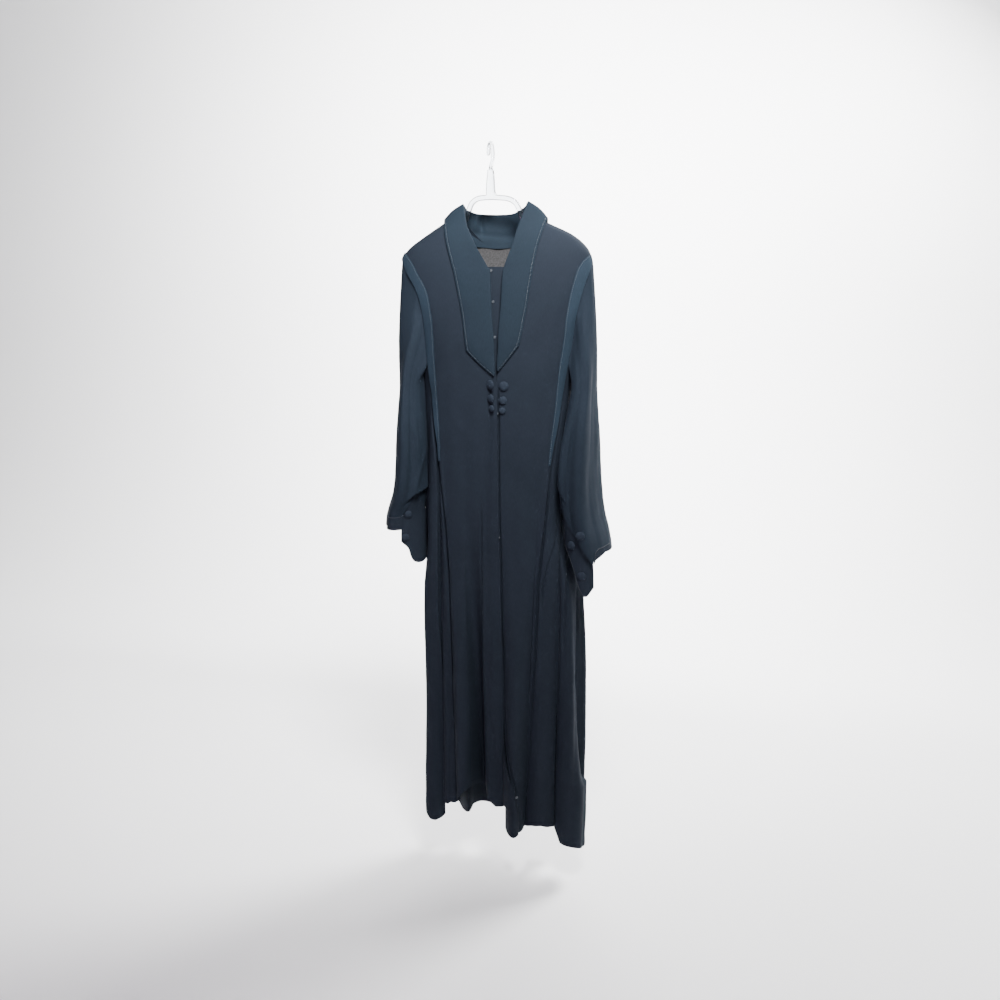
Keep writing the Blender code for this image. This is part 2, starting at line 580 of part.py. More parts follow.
# ---------------------------------------------------------------- armhole bands
BAND_END_Z = -0.680
BAND_INSET = 0.0010       # from the front's own edge
BAND_TOP = 0.25           # the band starts this far down the first row of the front
BAND_COLUMNS = 4
BAND_WIDTH = {"z": (-0.235, -0.262, -0.340, -0.450, -0.600, -0.680),
              "width": (0.016, 0.030, 0.024, 0.022, 0.012, 0.005)}


def band(side, front, mat):
    """Contrast band on the front's outer edge: over the shoulder tip, down the armhole."""
    p_grid, z_grid = front
    points, normals = body_point(p_grid, z_grid), body_normal(p_grid, z_grid)
    last = YOKE_ROWS + sum(1 for z in LEVELS if z >= BAND_END_Z)
    rows, row_normals = [], []
    points[0] += (points[1] - points[0]) * BAND_TOP
    normals[0] = normals[1]
    for i in range(last):
        steps = np.linalg.norm(np.diff(points[i][::-1], axis=0), axis=1)
        run = np.concatenate(([0.0], np.cumsum(steps)))
        width = float(np.interp(-z_grid[i, -1], -np.array(BAND_WIDTH["z"]), BAND_WIDTH["width"]))
        at = np.linspace(BAND_INSET, width, BAND_COLUMNS)
        rows.append(np.array([np.interp(at, run, points[i][::-1, k]) for k in range(3)]).T)
        row_normals.append(np.array([np.interp(at, run, normals[i][::-1, k]) for k in range(3)]).T)
    normals = np.array(row_normals)
    inner = np.array(rows) + normals * LAY_GAP
    name = "band_left" if side < 0 else "band_right"
    return wall(name, inner + normals * CLOTH, inner, mat)


# ---------------------------------------------------------------- lapels and collar
ROLL_LIP = (0.0012, 0.0045)     # how far the lapel turns in past its roll line, and behind it
COLLAR_LIP = (0.0042, 0.0035)   # the same for the collar: inwards, and down
COLLAR_BULGE = (0.0040, 0.0020)     # crown of the collar's leaf: outwards, and up
COLLAR_OFF = 0.0015       # the collar's edge stands off the back by this
COLLAR_END_LIFT = 0.0045  # its edge at the shoulder seams
STAND_TOP = (0.0062, 0.0050)    # top of the stand from the roll line: inwards, and down
NECK_CENTRE_Y = -0.010    # middle of the neck, which the collar turns round
LAPEL_GAP = 0.0016        # the lapels stand a little off the fronts
LAPEL_GAP_TOP = 0.0028    # and more where they turn over the shoulders
LAPEL_COLUMNS = 5


def leaf_row(roll, edge, lip, bulge):
    """Points across a leaf: lip, roll line, and out to the edge with a slight crown."""
    across = np.linspace(0.0, 1.0, LAPEL_COLUMNS)[:, None]
    row = roll + (edge - roll) * across + bulge * np.sin(math.pi * across)
    return np.vstack([lip[None, :], row])


def grid_normals(grid):
    """Normals of a grid of points, from the points beside each one."""
    down = np.gradient(grid, axis=0)
    across = np.gradient(grid, axis=1)
    normal = np.cross(down, across)
    return normal / (np.linalg.norm(normal, axis=-1, keepdims=True) + 1e-12)


def lapel_grid(side):
    """Rows of the lapel from its point up to the shoulder, on the body's surface."""
    rows = []
    for roll_x, roll_z, edge_x, edge_z in (LAPEL_LEFT if side < 0 else LAPEL_RIGHT):
        out = CLOTH + (LAPEL_GAP if edge_z < -0.22 else LAPEL_GAP_TOP)
        across = np.linspace(0.0, 1.0, LAPEL_COLUMNS)
        x = roll_x + (edge_x - roll_x) * across
        z = roll_z + (edge_z - roll_z) * across
        p = p_at(x, z)
        points = body_point(p, z) + body_normal(p, z) * out
        lip = points[0] - body_normal(p, z)[0] * ROLL_LIP[1]
        lip = lip + (points[1] - points[0]) / np.linalg.norm(points[1] - points[0]) * ROLL_LIP[0]
        rows.append(np.vstack([lip[None, :], points]))
    return rows


def to_neck(roll):
    """Level direction from a point of the roll line to the middle of the neck."""
    inward = np.array([-roll[0], NECK_CENTRE_Y - roll[1], 0.0])
    return inward / np.linalg.norm(inward)


def collar_row(index):
    """One row of the collar's leaf round the neck."""
    roll = np.array(COLLAR_ROLL[index])
    x, z = COLLAR_EDGE_X[index], COLLAR_EDGE_Z[index]
    ends = index in (0, len(COLLAR_ROLL) - 1)
    if ends:
        edge = np.array([x, 0.0, z + COLLAR_END_LIFT])
    else:
        p = p_at(np.array(x if x else 1e-6), np.array(z), back=True)
        surface = body_point(p, z)
        off = CLOTH + LAY_GAP + COLLAR_OFF
        edge = surface + body_normal(p, z) * off - np.array([GARMENT_X, 0, 0])
    inward = to_neck(roll)
    lip = roll + inward * COLLAR_LIP[0] - np.array([0, 0, COLLAR_LIP[1]])
    bulge = -inward * COLLAR_BULGE[0] + np.array([0, 0, COLLAR_BULGE[1]])
    return leaf_row(roll, edge, lip, bulge) + np.array([GARMENT_X, 0, 0])


def collar(mats):
    """Both lapels and the collar's leaf between them, cut from one run of rows."""
    left = lapel_grid(-1)
    right = lapel_grid(1)
    round_neck = [collar_row(i) for i in range(len(COLLAR_ROLL))]
    run = np.array(left + round_neck + right[::-1])
    normal = grid_normals(run)
    if np.dot(normal[0, 3], np.array([0, -1.0, 0])) < 0:
        normal = -normal
    n_left, n_round = len(left), len(round_neck)
    seams = (n_left + 1, n_left + n_round - 2)
    names = ("lapel_left", "collar_back", "lapel_right")
    spans = ((0, seams[0]), (seams[0], seams[1]), (seams[1], len(run) - 1))
    for name, mat, (first, last) in zip(names, mats, spans):
        outer = run[first:last + 1].copy()
        inner = (run - normal * CLOTH)[first:last + 1].copy()
        for grid in (outer, inner):
            if first > 0:
                away = grid[1] - grid[0]
                grid[0] += away / np.linalg.norm(away, axis=1, keepdims=True) * SEAM_GAP / 2
            if last < len(run) - 1:
                away = grid[-2] - grid[-1]
                grid[-1] += away / np.linalg.norm(away, axis=1, keepdims=True) * SEAM_GAP / 2
        wall(name, outer, inner, mat)


def collar_stand(mat):
    """Inner stand: from under the roll line down to the neck seam."""
    rows = []
    for index, low in enumerate(NECK_SEAM):
        roll = np.array(COLLAR_ROLL[index])
        top = roll + to_neck(roll) * STAND_TOP[0] - np.array([0, 0, STAND_TOP[1]])
        low = np.array(low)
        rows.append(np.array([top + (low - top) * t for t in np.linspace(0, 1, 4)]))
    grid = np.array(rows) + np.array([GARMENT_X, 0, 0])
    normal = grid_normals(grid)
    if normal[len(rows) // 2, 1][1] < 0:
        normal = -normal
    wall("collar_stand", grid + normal * CLOTH / 2, grid - normal * CLOTH / 2, mat)


PATCH_X = 0.060           # half width of the neck piece
PATCH_TOP_Z = -0.2125
PATCH_BELOW = 0.003       # its top lies this far under the neckline
PATCH_FOOT_Z = -0.262
PATCH_ROUND = 0.010       # and its foot drops by this at the middle
PATCH_CLOTH = 0.0010


def neck_patch(mat):
    """The plain piece inside the back neck, on the back's inner face."""
    x = np.linspace(-PATCH_X, PATCH_X, 9)
    top = np.minimum(PATCH_TOP_Z, back_neck_z(x) - PATCH_BELOW)
    low = PATCH_FOOT_Z - PATCH_ROUND * (1 - (x / PATCH_X) ** 2)
    share = np.linspace(0, 1, 4)[:, None]
    z = top + (low - top) * share
    x_grid = np.broadcast_to(x, z.shape)
    p = p_at(np.where(x_grid == 0, 1e-6, x_grid), z, back=True)
    return body_wall("neck_patch", p, z, mat, raise_by=-(CLOTH + LAY_GAP), thickness=PATCH_CLOTH)


def under_placket(mat):
    """Strip behind the centre front, with the fastening, from the neck to near the hem."""
    heights = np.concatenate((np.linspace(-0.248, -0.430, 6), (-0.455, -0.480),
                              [z for z in LEVELS if z < -0.5]))
    share = np.linspace(0, 1, 5)[None, :]
    left = smooth(PLACKET, "left", heights)[:, None]
    right = smooth(PLACKET, "right", heights)[:, None]
    x = left + (right - left) * share
    z = np.broadcast_to(heights[:, None], x.shape)
    set_back = np.interp(-z, -np.array(PLACKET["z"]), PLACKET["set"])
    return body_wall("under_placket", p_at(x, z), z, mat, raise_by=-set_back)


# ---------------------------------------------------------------- sleeves
CAP_ROWS = 6
TUBE_ROWS = 8
ARMHOLE_GAP = 0.0010      # the sleeve's edge stands off the panels' edges by this
CAP_FULLNESS = 0.006
CUFF_PROUD = 0.0004       # the cuff stands out from the sleeve by this
STRIP_ROWS = 6
SLEEVE_FOOT = {-1: -0.815, 1: -0.845}
SLEEVE_EASE = 0.014       # the rows above the sleeve's end follow its line within this


def sleeve_section(side, angle, z):
    """Closed section of the sleeve; angle 0 faces outwards, pi / 2 the front."""
    table = SLEEVE_LEFT if side < 0 else SLEEVE_RIGHT
    across, along = smooth(table, "across", z), smooth(table, "along", z)
    crease = smooth(table, "crease", z)
    turn = math.radians(1.0) * smooth(table, "turn", z)
    at = angle - math.radians(1.0) * smooth(table, "crease_at", z)
    at = (at + math.pi) % (2 * math.pi) - math.pi
    grow = crease * np.exp(-(at / CREASE_WIDTH) ** 2)
    u = np.cos(angle) * (across + grow)
    v = -np.sin(angle) * (along + grow)
    x = side * u
    y = v
    turned_x = x * np.cos(turn) - y * np.sin(turn)
    turned_y = x * np.sin(turn) + y * np.cos(turn)
    centre_x, centre_y = smooth(table, "x", z), smooth(table, "y", z)
    z = np.broadcast_to(z, np.shape(angle))
    return np.stack([centre_x + turned_x + GARMENT_X, centre_y + turned_y, z], axis=-1)


def armhole(side, front, panel, back):
    """The armhole's loop through the panels' own edge points: tip, front, underarm, back."""
    top = YOKE_ROWS + LEVELS.index(PANEL_TOP_Z)
    rows = [0, 2] + list(range(YOKE_ROWS, top + 1))
    outside = 0 if side < 0 else -1
    front_edge_points = [body_point(front[0][i, -1], front[1][i, -1]) for i in rows]
    under = [body_point(panel[0][0, j], panel[1][0, j]) for j in range(2, panel[0].shape[1] - 1, 2)]
    back_edge_points = [body_point(back[0][i, outside], back[1][i, outside]) for i in rows[:0:-1]]
    half = len(under) // 2
    return front_edge_points + under[:half + 1], under[half:] + back_edge_points


def fill_out(points, count):
    """Adds points half way along the longest chords until there are count of them."""
    points = [np.array(p) for p in points]
    while len(points) < count:
        lengths = [np.linalg.norm(b - a) for a, b in zip(points, points[1:])]
        k = int(np.argmax(lengths))
        points.insert(k + 1, (points[k] + points[k + 1]) / 2)
    return points


def sleeve_rows(side, panels):
    """Rows of the sleeve from the armhole to the cuff seam, and its columns' angles."""
    degrees = np.array(SLEEVE_ANGLES[side], float)
    angle = np.radians(degrees)
    front_half, back_half = armhole(side, *panels)
    tip = front_half[0]
    front_count = int(np.sum(degrees <= 180.0)) + 1
    front_half = fill_out(front_half, front_count)
    back_half = fill_out(back_half + [tip], len(degrees) - front_count + 2)
    hole = np.array(front_half + back_half[1:-1])
    centre = hole.mean(axis=0)
    away = hole - centre
    away[:, 0] = 0.0
    away /= np.linalg.norm(away, axis=1, keepdims=True)
    table = SLEEVE_LEFT if side < 0 else SLEEVE_RIGHT
    out = np.array([side * 1.0, 0.0, 0.0])
    hole = hole + out * ARMHOLE_GAP
    first = sleeve_section(side, angle, table["z"][0])
    rows = []
    for w in np.linspace(0.0, 1.0, CAP_ROWS + 1):
        ease = w * w * (3 - 2 * w)
        row = hole + (first - hole) * ease
        row[:, 2] = hole[:, 2] + (first[:, 2] - hole[:, 2]) * w
        cap = CAP_FULLNESS * math.sin(math.pi * w) ** 0.7 * np.clip(np.cos(angle), 0, 1)
        rows.append(row + out * cap[:, None])
    low = end_z(SLEEVE_END, side, degrees)
    for share in np.linspace(0.0, 1.0, TUBE_ROWS + 1)[1:]:
        level = table["z"][0] + (SLEEVE_FOOT[side] - table["z"][0]) * share
        rows.append(sleeve_section(side, angle, np.maximum(level, low + (1 - share) * SLEEVE_EASE)))
    rows[-1] = sleeve_section(side, angle, low)
    return np.array(rows)


def end_z(table, side, degrees):
    """Height of an edge at each angle; a table's angles run on past a full turn."""
    degrees = np.asarray(degrees, float) % 360.0
    degrees = np.where(degrees < table[side]["angle"][0], degrees + 360.0, degrees)
    return np.interp(degrees, table[side]["angle"], table[side]["z"])


def ring_normals(rows):
    """Outward normals of a tube of rows whose columns close on themselves."""
    around = np.roll(rows, -1, axis=1) - np.roll(rows, 1, axis=1)
    down = np.gradient(rows, axis=0)
    normal = np.cross(down, around)
    normal = normal / (np.linalg.norm(normal, axis=-1, keepdims=True) + 1e-12)
    centre = rows.mean(axis=1, keepdims=True)
    sign = np.sign(np.sum(normal * (rows - centre), axis=-1).mean())
    return normal * sign


def sleeve(side, panels, mat):
    rows = sleeve_rows(side, panels)
    normal = ring_normals(rows)
    inner = rows - normal * CLOTH
    to_centre = rows[0].mean(axis=0) - rows[0]
    to_centre[:, 0] = 0.0
    to_centre /= np.linalg.norm(to_centre, axis=1, keepdims=True)
    inner[0] = rows[0] + to_centre * CLOTH
    name = "sleeve_left" if side < 0 else "sleeve_right"
    return tube_wall(name, rows, inner, mat)


def section_normal(side, angle, z):
    """Outward normal of the sleeve's surface below the armhole."""
    around = sleeve_section(side, angle + 0.02, z) - sleeve_section(side, angle - 0.02, z)
    down = sleeve_section(side, angle, z - 0.004) - sleeve_section(side, angle, z + 0.004)
    normal = np.cross(down, around)
    normal = normal / np.linalg.norm(normal, axis=-1, keepdims=True)
    away = sleeve_section(side, angle, z) - sleeve_section(side, angle + math.pi, z)
    return normal * np.sign(np.sum(normal * away, axis=-1, keepdims=True))


def cuff(side, mat):
    """Band sewn to the sleeve's end, from one side of the slit round to the other."""
    first, last = CUFF_LOW[side]["angle"][0], CUFF_LOW[side]["angle"][-1]
    columns = np.array(SLEEVE_ANGLES[side], float)
    columns = np.sort(np.concatenate((columns, columns + 360.0)))
    degrees = columns[(columns >= first - 0.1) & (columns <= last + 0.1)]
    degrees[0] += 1.0
    degrees[-1] -= 1.0
    top = end_z(SLEEVE_END, side, degrees) - 3 * SEAM_GAP
    low = np.interp(degrees, CUFF_LOW[side]["angle"], CUFF_LOW[side]["z"])
    z = np.array([top + (low - top) * share for share in (0.0, 0.5, 1.0)])
    angle = np.broadcast_to(np.radians(degrees), z.shape)
    points = sleeve_section(side, angle, z)
    normal = section_normal(side, angle, z)
    name = "cuff_left" if side < 0 else "cuff_right"
    return wall(name, points + normal * CUFF_PROUD, points - normal * CLOTH, mat)


def cuff_flap(side, mat):
    """Button strip of the open slit: it hangs below the cuff, its top behind the sleeve."""
    degrees = np.array(STRIP[side]["angle"])
    top, foot = np.array(STRIP[side]["top"]), np.array(STRIP[side]["foot"])
    z = np.array([top + (foot - top) * share for share in np.linspace(0, 1, STRIP_ROWS)])
    angle = np.broadcast_to(np.radians(degrees), z.shape)
    points = sleeve_section(side, angle, z)
    normal = section_normal(side, angle, z)
    outer = points - normal * STRIP_SET[side]
    name = "cuff_flap_left" if side < 0 else "cuff_flap_right"
    return wall(name, outer, outer - normal * CLOTH, mat)


# ---------------------------------------------------------------- covered buttons
def button(name, place, normal, diameter, carrier, mat):
    """A domed covered button, turned from its profile and seated on what carries it."""
    radius = diameter / 2
    profile = [(0.0, BUTTON_DOME)]
    for turn in np.radians(BUTTON_ROUND):
        profile.append((radius * math.cos(turn), BUTTON_RIM + (BUTTON_DOME - BUTTON_RIM) * math.sin(turn)))
    profile += [(radius, BUTTON_RIM), (radius * BUTTON_FOOT, 0.0), (0.0, 0.0)]
    mesh = bpy.data.meshes.new(name)
    mesh.from_pydata([(r, 0.0, height) for r, height in profile],
                     [(k, k + 1) for k in range(len(profile) - 1)], [])
    item = add_object(name, mesh, mat)
    screw = item.modifiers.new("turn", "SCREW")
    screw.steps = screw.render_steps = BUTTON_STEPS
    screw.use_merge_vertices = True
    screw.merge_threshold = 0.00005
    normal = Vector(normal).normalized()
    item.rotation_euler = normal.to_track_quat("Z", "Y").to_euler()
    item.location = Vector(place) + normal * (seat_height(Vector(place), normal, radius, carrier) + SEAM_GAP)
    return item


def seat_height(place, normal, radius, carrier):
    """Highest point of the carrier under the button's foot, above the button's place."""
    tree = BVHTree.FromPolygons([v.co for v in carrier.data.vertices],
                                [tuple(f.vertices) for f in carrier.data.polygons])
    side_axis = normal.orthogonal().normalized()
    other = normal.cross(side_axis)
    heights = []
    for reach in (0.0, BUTTON_FOOT * 0.56, BUTTON_FOOT):
        for turn in np.linspace(0.0, 2 * math.pi, BUTTON_STEPS, endpoint=False):
            start = place + normal * BUTTON_CLEAR
            start += (side_axis * math.cos(turn) + other * math.sin(turn)) * radius * reach
            distance = tree.ray_cast(start, -normal, 2 * BUTTON_CLEAR)[3]
            if distance is not None:
                heights.append(BUTTON_CLEAR - distance)
    return max(heights)


def front_buttons(carriers, mat_of):
    for label, x, z, diameter in FRONT_BUTTONS:
        p = p_at(np.array(x), np.array(z))
        name = "front_button_" + label
        carrier = carriers["front_left" if label.startswith("left") else "front_right"]
        button(name, body_point(p, z), body_normal(p, z), diameter, carrier, mat_of(name))


def cuff_buttons(carriers, mat_of):
    for label, side, degrees, z, diameter, carrier in CUFF_BUTTONS:
        angle = np.array(math.radians(degrees))
        name = "cuff_button_" + label
        place = sleeve_section(side, angle, np.array(z))
        normal = section_normal(side, angle, np.array(z))
        button(name, place, normal, diameter, carriers[carrier], mat_of(name))


# ---------------------------------------------------------------- hanger
def hanger(mat):
    """Flat moulded body: neck, arch in the collar, and arms under the shoulders."""
    outline = []
    for side in (1, -1):
        line = list(HANGER_LINE[side])
        for x in np.linspace(line[-1][0], HANGER_ARM_END[side], 6)[1:]:
            line.append((x, shoulder_z(x - GARMENT_X) - HANGER_DROP - HANGER_HALF))
        line = np.array(line)
        along = np.gradient(line, axis=0)
        along /= np.linalg.norm(along, axis=1, keepdims=True)
        normal = np.stack([-along[:, 1], along[:, 0]], axis=1) * side
        upper = line + normal * HANGER_HALF
        lower = line - normal * HANGER_HALF
        neck = [(side * x, z) for x, z in HANGER_NECK]
        if side > 0:
            outline += neck[::-1] + [tuple(v) for v in upper[1:]] + [tuple(v) for v in lower[:0:-1]]
            outline.append((0.0, line[0][1] - HANGER_HALF))
        else:
            outline += [tuple(v) for v in lower[1:]] + [tuple(v) for v in upper[:0:-1]] + neck
    curve = bpy.data.curves.new("hanger", "CURVE")
    curve.dimensions = "2D"
    curve.fill_mode = "BOTH"
    curve.extrude = HANGER_DEPTH / 2
    spline = curve.splines.new("POLY")
    spline.points.add(len(outline) - 1)
    for point, (x, z) in zip(spline.points, outline):
        point.co = (x, z, 0.0, 1.0)
    spline.use_cyclic_u = True
    item = bpy.data.objects.new("hanger", curve)
    item.data.materials.append(mat)
    item.rotation_euler = (math.pi / 2, 0.0, 0.0)
    PARTS.objects.link(item)
    weld = item.modifiers.new("weld", "WELD")
    weld.merge_threshold = 0.00005
    return item


def hook(mat):
    """Round hook: up from the neck, back and over, with its open end to the front."""
    curve = bpy.data.curves.new("hanger_hook", "CURVE")
    curve.dimensions = "3D"
    curve.bevel_depth = HOOK_WIRE
    curve.bevel_resolution = 2
    curve.use_fill_caps = True
    centre_z = -(HOOK_RADIUS - HOOK_WIRE)
    foot = HANGER_NECK[2][1] + SEAM_GAP
    points = [(0.0, 0.0, foot), (0.0, 0.0, foot + 0.004), (0.0, 0.005, foot + 0.009)]
    for degrees in np.arange(-56, 200, 14.0):
        turn = math.radians(degrees)
        points.append((0.0, HOOK_RADIUS * math.cos(turn), centre_z + HOOK_RADIUS * math.sin(turn)))
    spline = curve.splines.new("POLY")
    spline.points.add(len(points) - 1)
    for point, place in zip(spline.points, points):
        point.co = (*place, 1.0)
    item = bpy.data.objects.new("hanger_hook", curve)
    item.data.materials.append(mat)
    PARTS.objects.link(item)
    weld = item.modifiers.new("weld", "WELD")
    weld.merge_threshold = 0.00005
    return item


# ---------------------------------------------------------------- build
clear_scene()
PARTS = bpy.data.collections.new("abaya_cloak")
bpy.context.scene.collection.children.link(PARTS)


def main():
    def cloth(name, key="body"):
        return material(name, COLOURS[key], 0.85)

    carriers, grids = {}, {}
    for side, word in ((-1, "left"), (1, "right")):
        item, grids["front", side] = front_panel(side, 18, cloth("front_" + word))
        carriers["front_" + word] = item
        grids["side", side] = side_panel(side, 17, cloth("side_" + word))[1]
    grids["back"] = back_panel(25, cloth("back"))[1]
    for side, word in ((-1, "left"), (1, "right")):
        band(side, grids["front", side], cloth("band_" + word, "contrast"))
        panels = (grids["front", side], grids["side", side], grids["back"])
        carriers["sleeve_" + word] = sleeve(side, panels, cloth("sleeve_" + word))
    collar([cloth(name, "contrast") for name in ("lapel_left", "collar_back", "lapel_right")])
    collar_stand(cloth("collar_stand", "contrast"))
    neck_patch(cloth("neck_patch", "patch"))
    under_placket(cloth("under_placket", "placket"))
    cuff(-1, cloth("cuff_left"))
    cuff(1, cloth("cuff_right"))
    carriers["cuff_flap_left"] = cuff_flap(-1, cloth("cuff_flap_left"))
    carriers["cuff_flap_right"] = cuff_flap(1, cloth("cuff_flap_right"))
    front_buttons(carriers, cloth)
    cuff_buttons(carriers, cloth)
    clear = material("clear_plastic", COLOURS["clear"], 0.1, alpha=0.35)
    hanger(clear)
    hook(material("hook", COLOURS["clear"], 0.1, alpha=0.35))


main()
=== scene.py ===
"""Dresses the abaya cloak on its clear hanger: cloth panels, folds, sewing, buttons and studio.

Metres, +Z up; the wearer's front faces -Y. "left" below means the side at -X. Every body
panel lies on one surface, body(p, z): p runs round the garment, 0 at the front centre,
+-0.5 at the sides and +-1 at the back centre, and z is the height.
"""
import math

import bmesh
import bpy
import numpy as np
from bpy.props import FloatProperty, FloatVectorProperty, IntProperty, PointerProperty
from mathutils import Matrix, Vector


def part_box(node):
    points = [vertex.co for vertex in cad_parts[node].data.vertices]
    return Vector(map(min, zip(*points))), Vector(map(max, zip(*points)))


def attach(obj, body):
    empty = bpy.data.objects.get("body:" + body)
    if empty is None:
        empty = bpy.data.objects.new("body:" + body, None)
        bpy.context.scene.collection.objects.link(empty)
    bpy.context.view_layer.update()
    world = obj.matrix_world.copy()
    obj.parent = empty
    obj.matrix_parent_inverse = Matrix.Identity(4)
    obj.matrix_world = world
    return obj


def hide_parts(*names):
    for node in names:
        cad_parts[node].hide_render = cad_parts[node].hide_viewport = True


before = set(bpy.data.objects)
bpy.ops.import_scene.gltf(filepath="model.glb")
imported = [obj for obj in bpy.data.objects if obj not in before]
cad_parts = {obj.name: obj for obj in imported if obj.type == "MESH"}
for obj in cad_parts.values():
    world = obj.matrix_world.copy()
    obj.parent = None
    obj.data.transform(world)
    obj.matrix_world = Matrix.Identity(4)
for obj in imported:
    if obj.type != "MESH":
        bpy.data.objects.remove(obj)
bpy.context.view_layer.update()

bl_info = {
    "name": "Abaya cloak",
    "version": (1, 0, 0),
    "blender": (4, 5, 0),
    "location": "View3D > Sidebar > Abaya",
    "description": "Full-length open-front abaya cloak on a clear hanger, piece by piece",
    "category": "Object",
}

# ---------------------------------------------------------------- sizes of the garment
CLOTH = 0.0018            # one layer of the cut, as the solids have it
SEAM_GAP = 0.0003
LAY_GAP = 0.0006          # between a panel and what is laid on it
LAP_GAP = 0.0012          # between the two fronts where they lap
LAP_GAP_HEM = 0.0032      # added to it towards the hem, over the next heights
LAP_GAP_Z = (1.0, 1.5)
LAP_BAND = (0.022, 0.004)  # the lift eases in between these, left of the edge below
LAP_Z = (0.5, 0.58)       # and down between these heights
GARMENT_X = 0.0095        # the garment's centre plane, beside the hook
SQUARE = 2.4              # power of the rounded section
TIP_Z = -0.262            # lowest level of the shoulders
PLEAT_Z = -0.47           # where the flutes' edges begin
HEM_Z = -1.55
HEM_OVER = 1.1            # the edges' slant goes on a little past HEM_Z
FLUTE_FULL_Z = -1.66
UNDERARM_Z = -0.487
PANEL_TOP_Z = -0.455      # top of the side panels
STEP_ROUND = 0.003        # steps in p and z that the normals are taken over
STEP_DOWN = 0.002
TINY = 1e-12              # keeps a division from failing

# Body sections: x of the left and right extreme, depth of front and back at the centre.
SECTIONS = {
    "z":     (-0.138, -0.157, -0.183, -0.212, -0.235, -0.262, -0.3, -0.35, -0.4,
              -0.453, -0.5, -0.6, -0.74, -0.85, -0.95, -1.05, -1.3, -1.62),
    "left":  (-0.08, -0.109, -0.15, -0.191, -0.207, -0.21, -0.205, -0.19, -0.174,
              -0.166, -0.162, -0.159, -0.161, -0.158, -0.153, -0.15, -0.134, -0.132),
    "right": (0.08, 0.112, 0.168, 0.202, 0.211, 0.214, 0.21, 0.199, 0.187,
              0.18, 0.174, 0.168, 0.166, 0.166, 0.202, 0.209, 0.209, 0.2),
    "front": (0.008, 0.02, 0.034, 0.044, 0.05, 0.055, 0.06, 0.065, 0.069,
              0.071, 0.072, 0.072, 0.069, 0.066, 0.064, 0.062, 0.058, 0.054),
    "back":  (0.008, 0.02, 0.033, 0.042, 0.046, 0.049, 0.051, 0.053, 0.054,
              0.054, 0.054, 0.054, 0.054, 0.054, 0.054, 0.054, 0.054, 0.054),
}

# Front edges, x against z. Above the V point the front's edge lies under its lapel.
LEFT_EDGE = {
    "z": (-0.142, -0.157, -0.2, -0.269, -0.351, -0.414, -0.432, -0.462, -0.48,
          -0.49, -0.52, -0.574, -0.768, -0.931, -1.09, -1.215, -1.293, -1.392, -1.47, -1.54),
    "x": (-0.074, -0.094, -0.084, -0.063, -0.044, -0.036, -0.03, 0.001, 0.0145,
          0.018, 0.0195, 0.021, 0.022, 0.026, 0.029, 0.035, 0.038, 0.048, 0.066, 0.074),
}
RIGHT_EDGE = {
    "z": (-0.142, -0.157, -0.2, -0.269, -0.351, -0.41, -0.425, -0.45, -0.47,
          -0.574, -0.768, -0.931, -1.09, -1.3, -1.43, -1.62),
    "x": (0.074, 0.096, 0.09, 0.076, 0.064, 0.058, 0.052, 0.03, 0.0215,
          0.0225, 0.014, 0.014, 0.016, 0.024, 0.037, 0.051),
}
# Armhole edge of the front down to the side panel, then the princess seam to the hem.
LEFT_PRINCESS = {
    "z": (-0.235, -0.252, -0.3, -0.345, -0.392, -0.455, -0.584, -0.781, -0.946,
          -1.108, -1.253, -1.41, -1.62),
    "x": (-0.207, -0.199, -0.168, -0.154, -0.148, -0.143, -0.126, -0.106, -0.094,
          -0.088, -0.086, -0.08, -0.076),
}
RIGHT_PRINCESS = {
    "z": (-0.243, -0.266, -0.3, -0.35, -0.392, -0.455, -0.57, -0.666, -0.821,
          -0.928, -1.087, -1.203, -1.291, -1.43, -1.62),
    "x": (0.2125, 0.206, 0.196, 0.184, 0.178, 0.168, 0.151, 0.136, 0.122,
          0.112, 0.108, 0.103, 0.097, 0.09, 0.081),
}
EDGE = {-1: LEFT_EDGE, 1: RIGHT_EDGE}
PRINCESS = {-1: LEFT_PRINCESS, 1: RIGHT_PRINCESS}
TIP = {-1: -0.235, 1: -0.243}  # height of the shoulder tips
# Back armhole edge and back seam, as the same share of the section's width on both sides.
BACK_SEAM = {
    "z": (-0.235, -0.262, -0.3, -0.35, -0.4, -0.455, -0.6, -0.9, -1.62),
    "share": (0.995, 0.96, 0.89, 0.84, 0.83, 0.86, 0.84, 0.8, 0.76),
}

# Flutes across the front: both edges in x at the top and at the hem, depth at the hem.
FRONT_FLUTES = (
    # (left top, left hem, right top, right hem, depth, start z)
    (-0.14, -0.166, -0.118, -0.12, 0.042, -0.52),
    (-0.118, -0.12, -0.112, -0.078, 0.014, -0.56),
    (-0.112, -0.078, -0.07, -0.042, 0.024, -0.8),
    (-0.07, -0.042, -0.03, -0.006, -0.052, -0.78),
    (-0.03, -0.006, 0.021, 0.04, 0.012, -0.9),
    (0.021, 0.04, 0.12, 0.084, 0.04, -0.7),
    (0.12, 0.084, 0.153, 0.157, 0.026, -0.62),
    (0.153, 0.157, 0.19, 0.206, 0.045, -0.8),
)
# Flutes round the sides and back: edges in p, depth at the hem (the same left and right).
ROUND_FLUTES = (
    # (near edge, far edge, depth, start z)
    (0.44, 0.59, 0.022, -0.8),
    (0.59, 0.69, -0.03, -0.9),
    (0.69, 0.79, 0.036, -0.7),
    (0.79, 0.86, -0.026, -0.7),
    (0.86, 1.0, 0.03, -0.6),
)
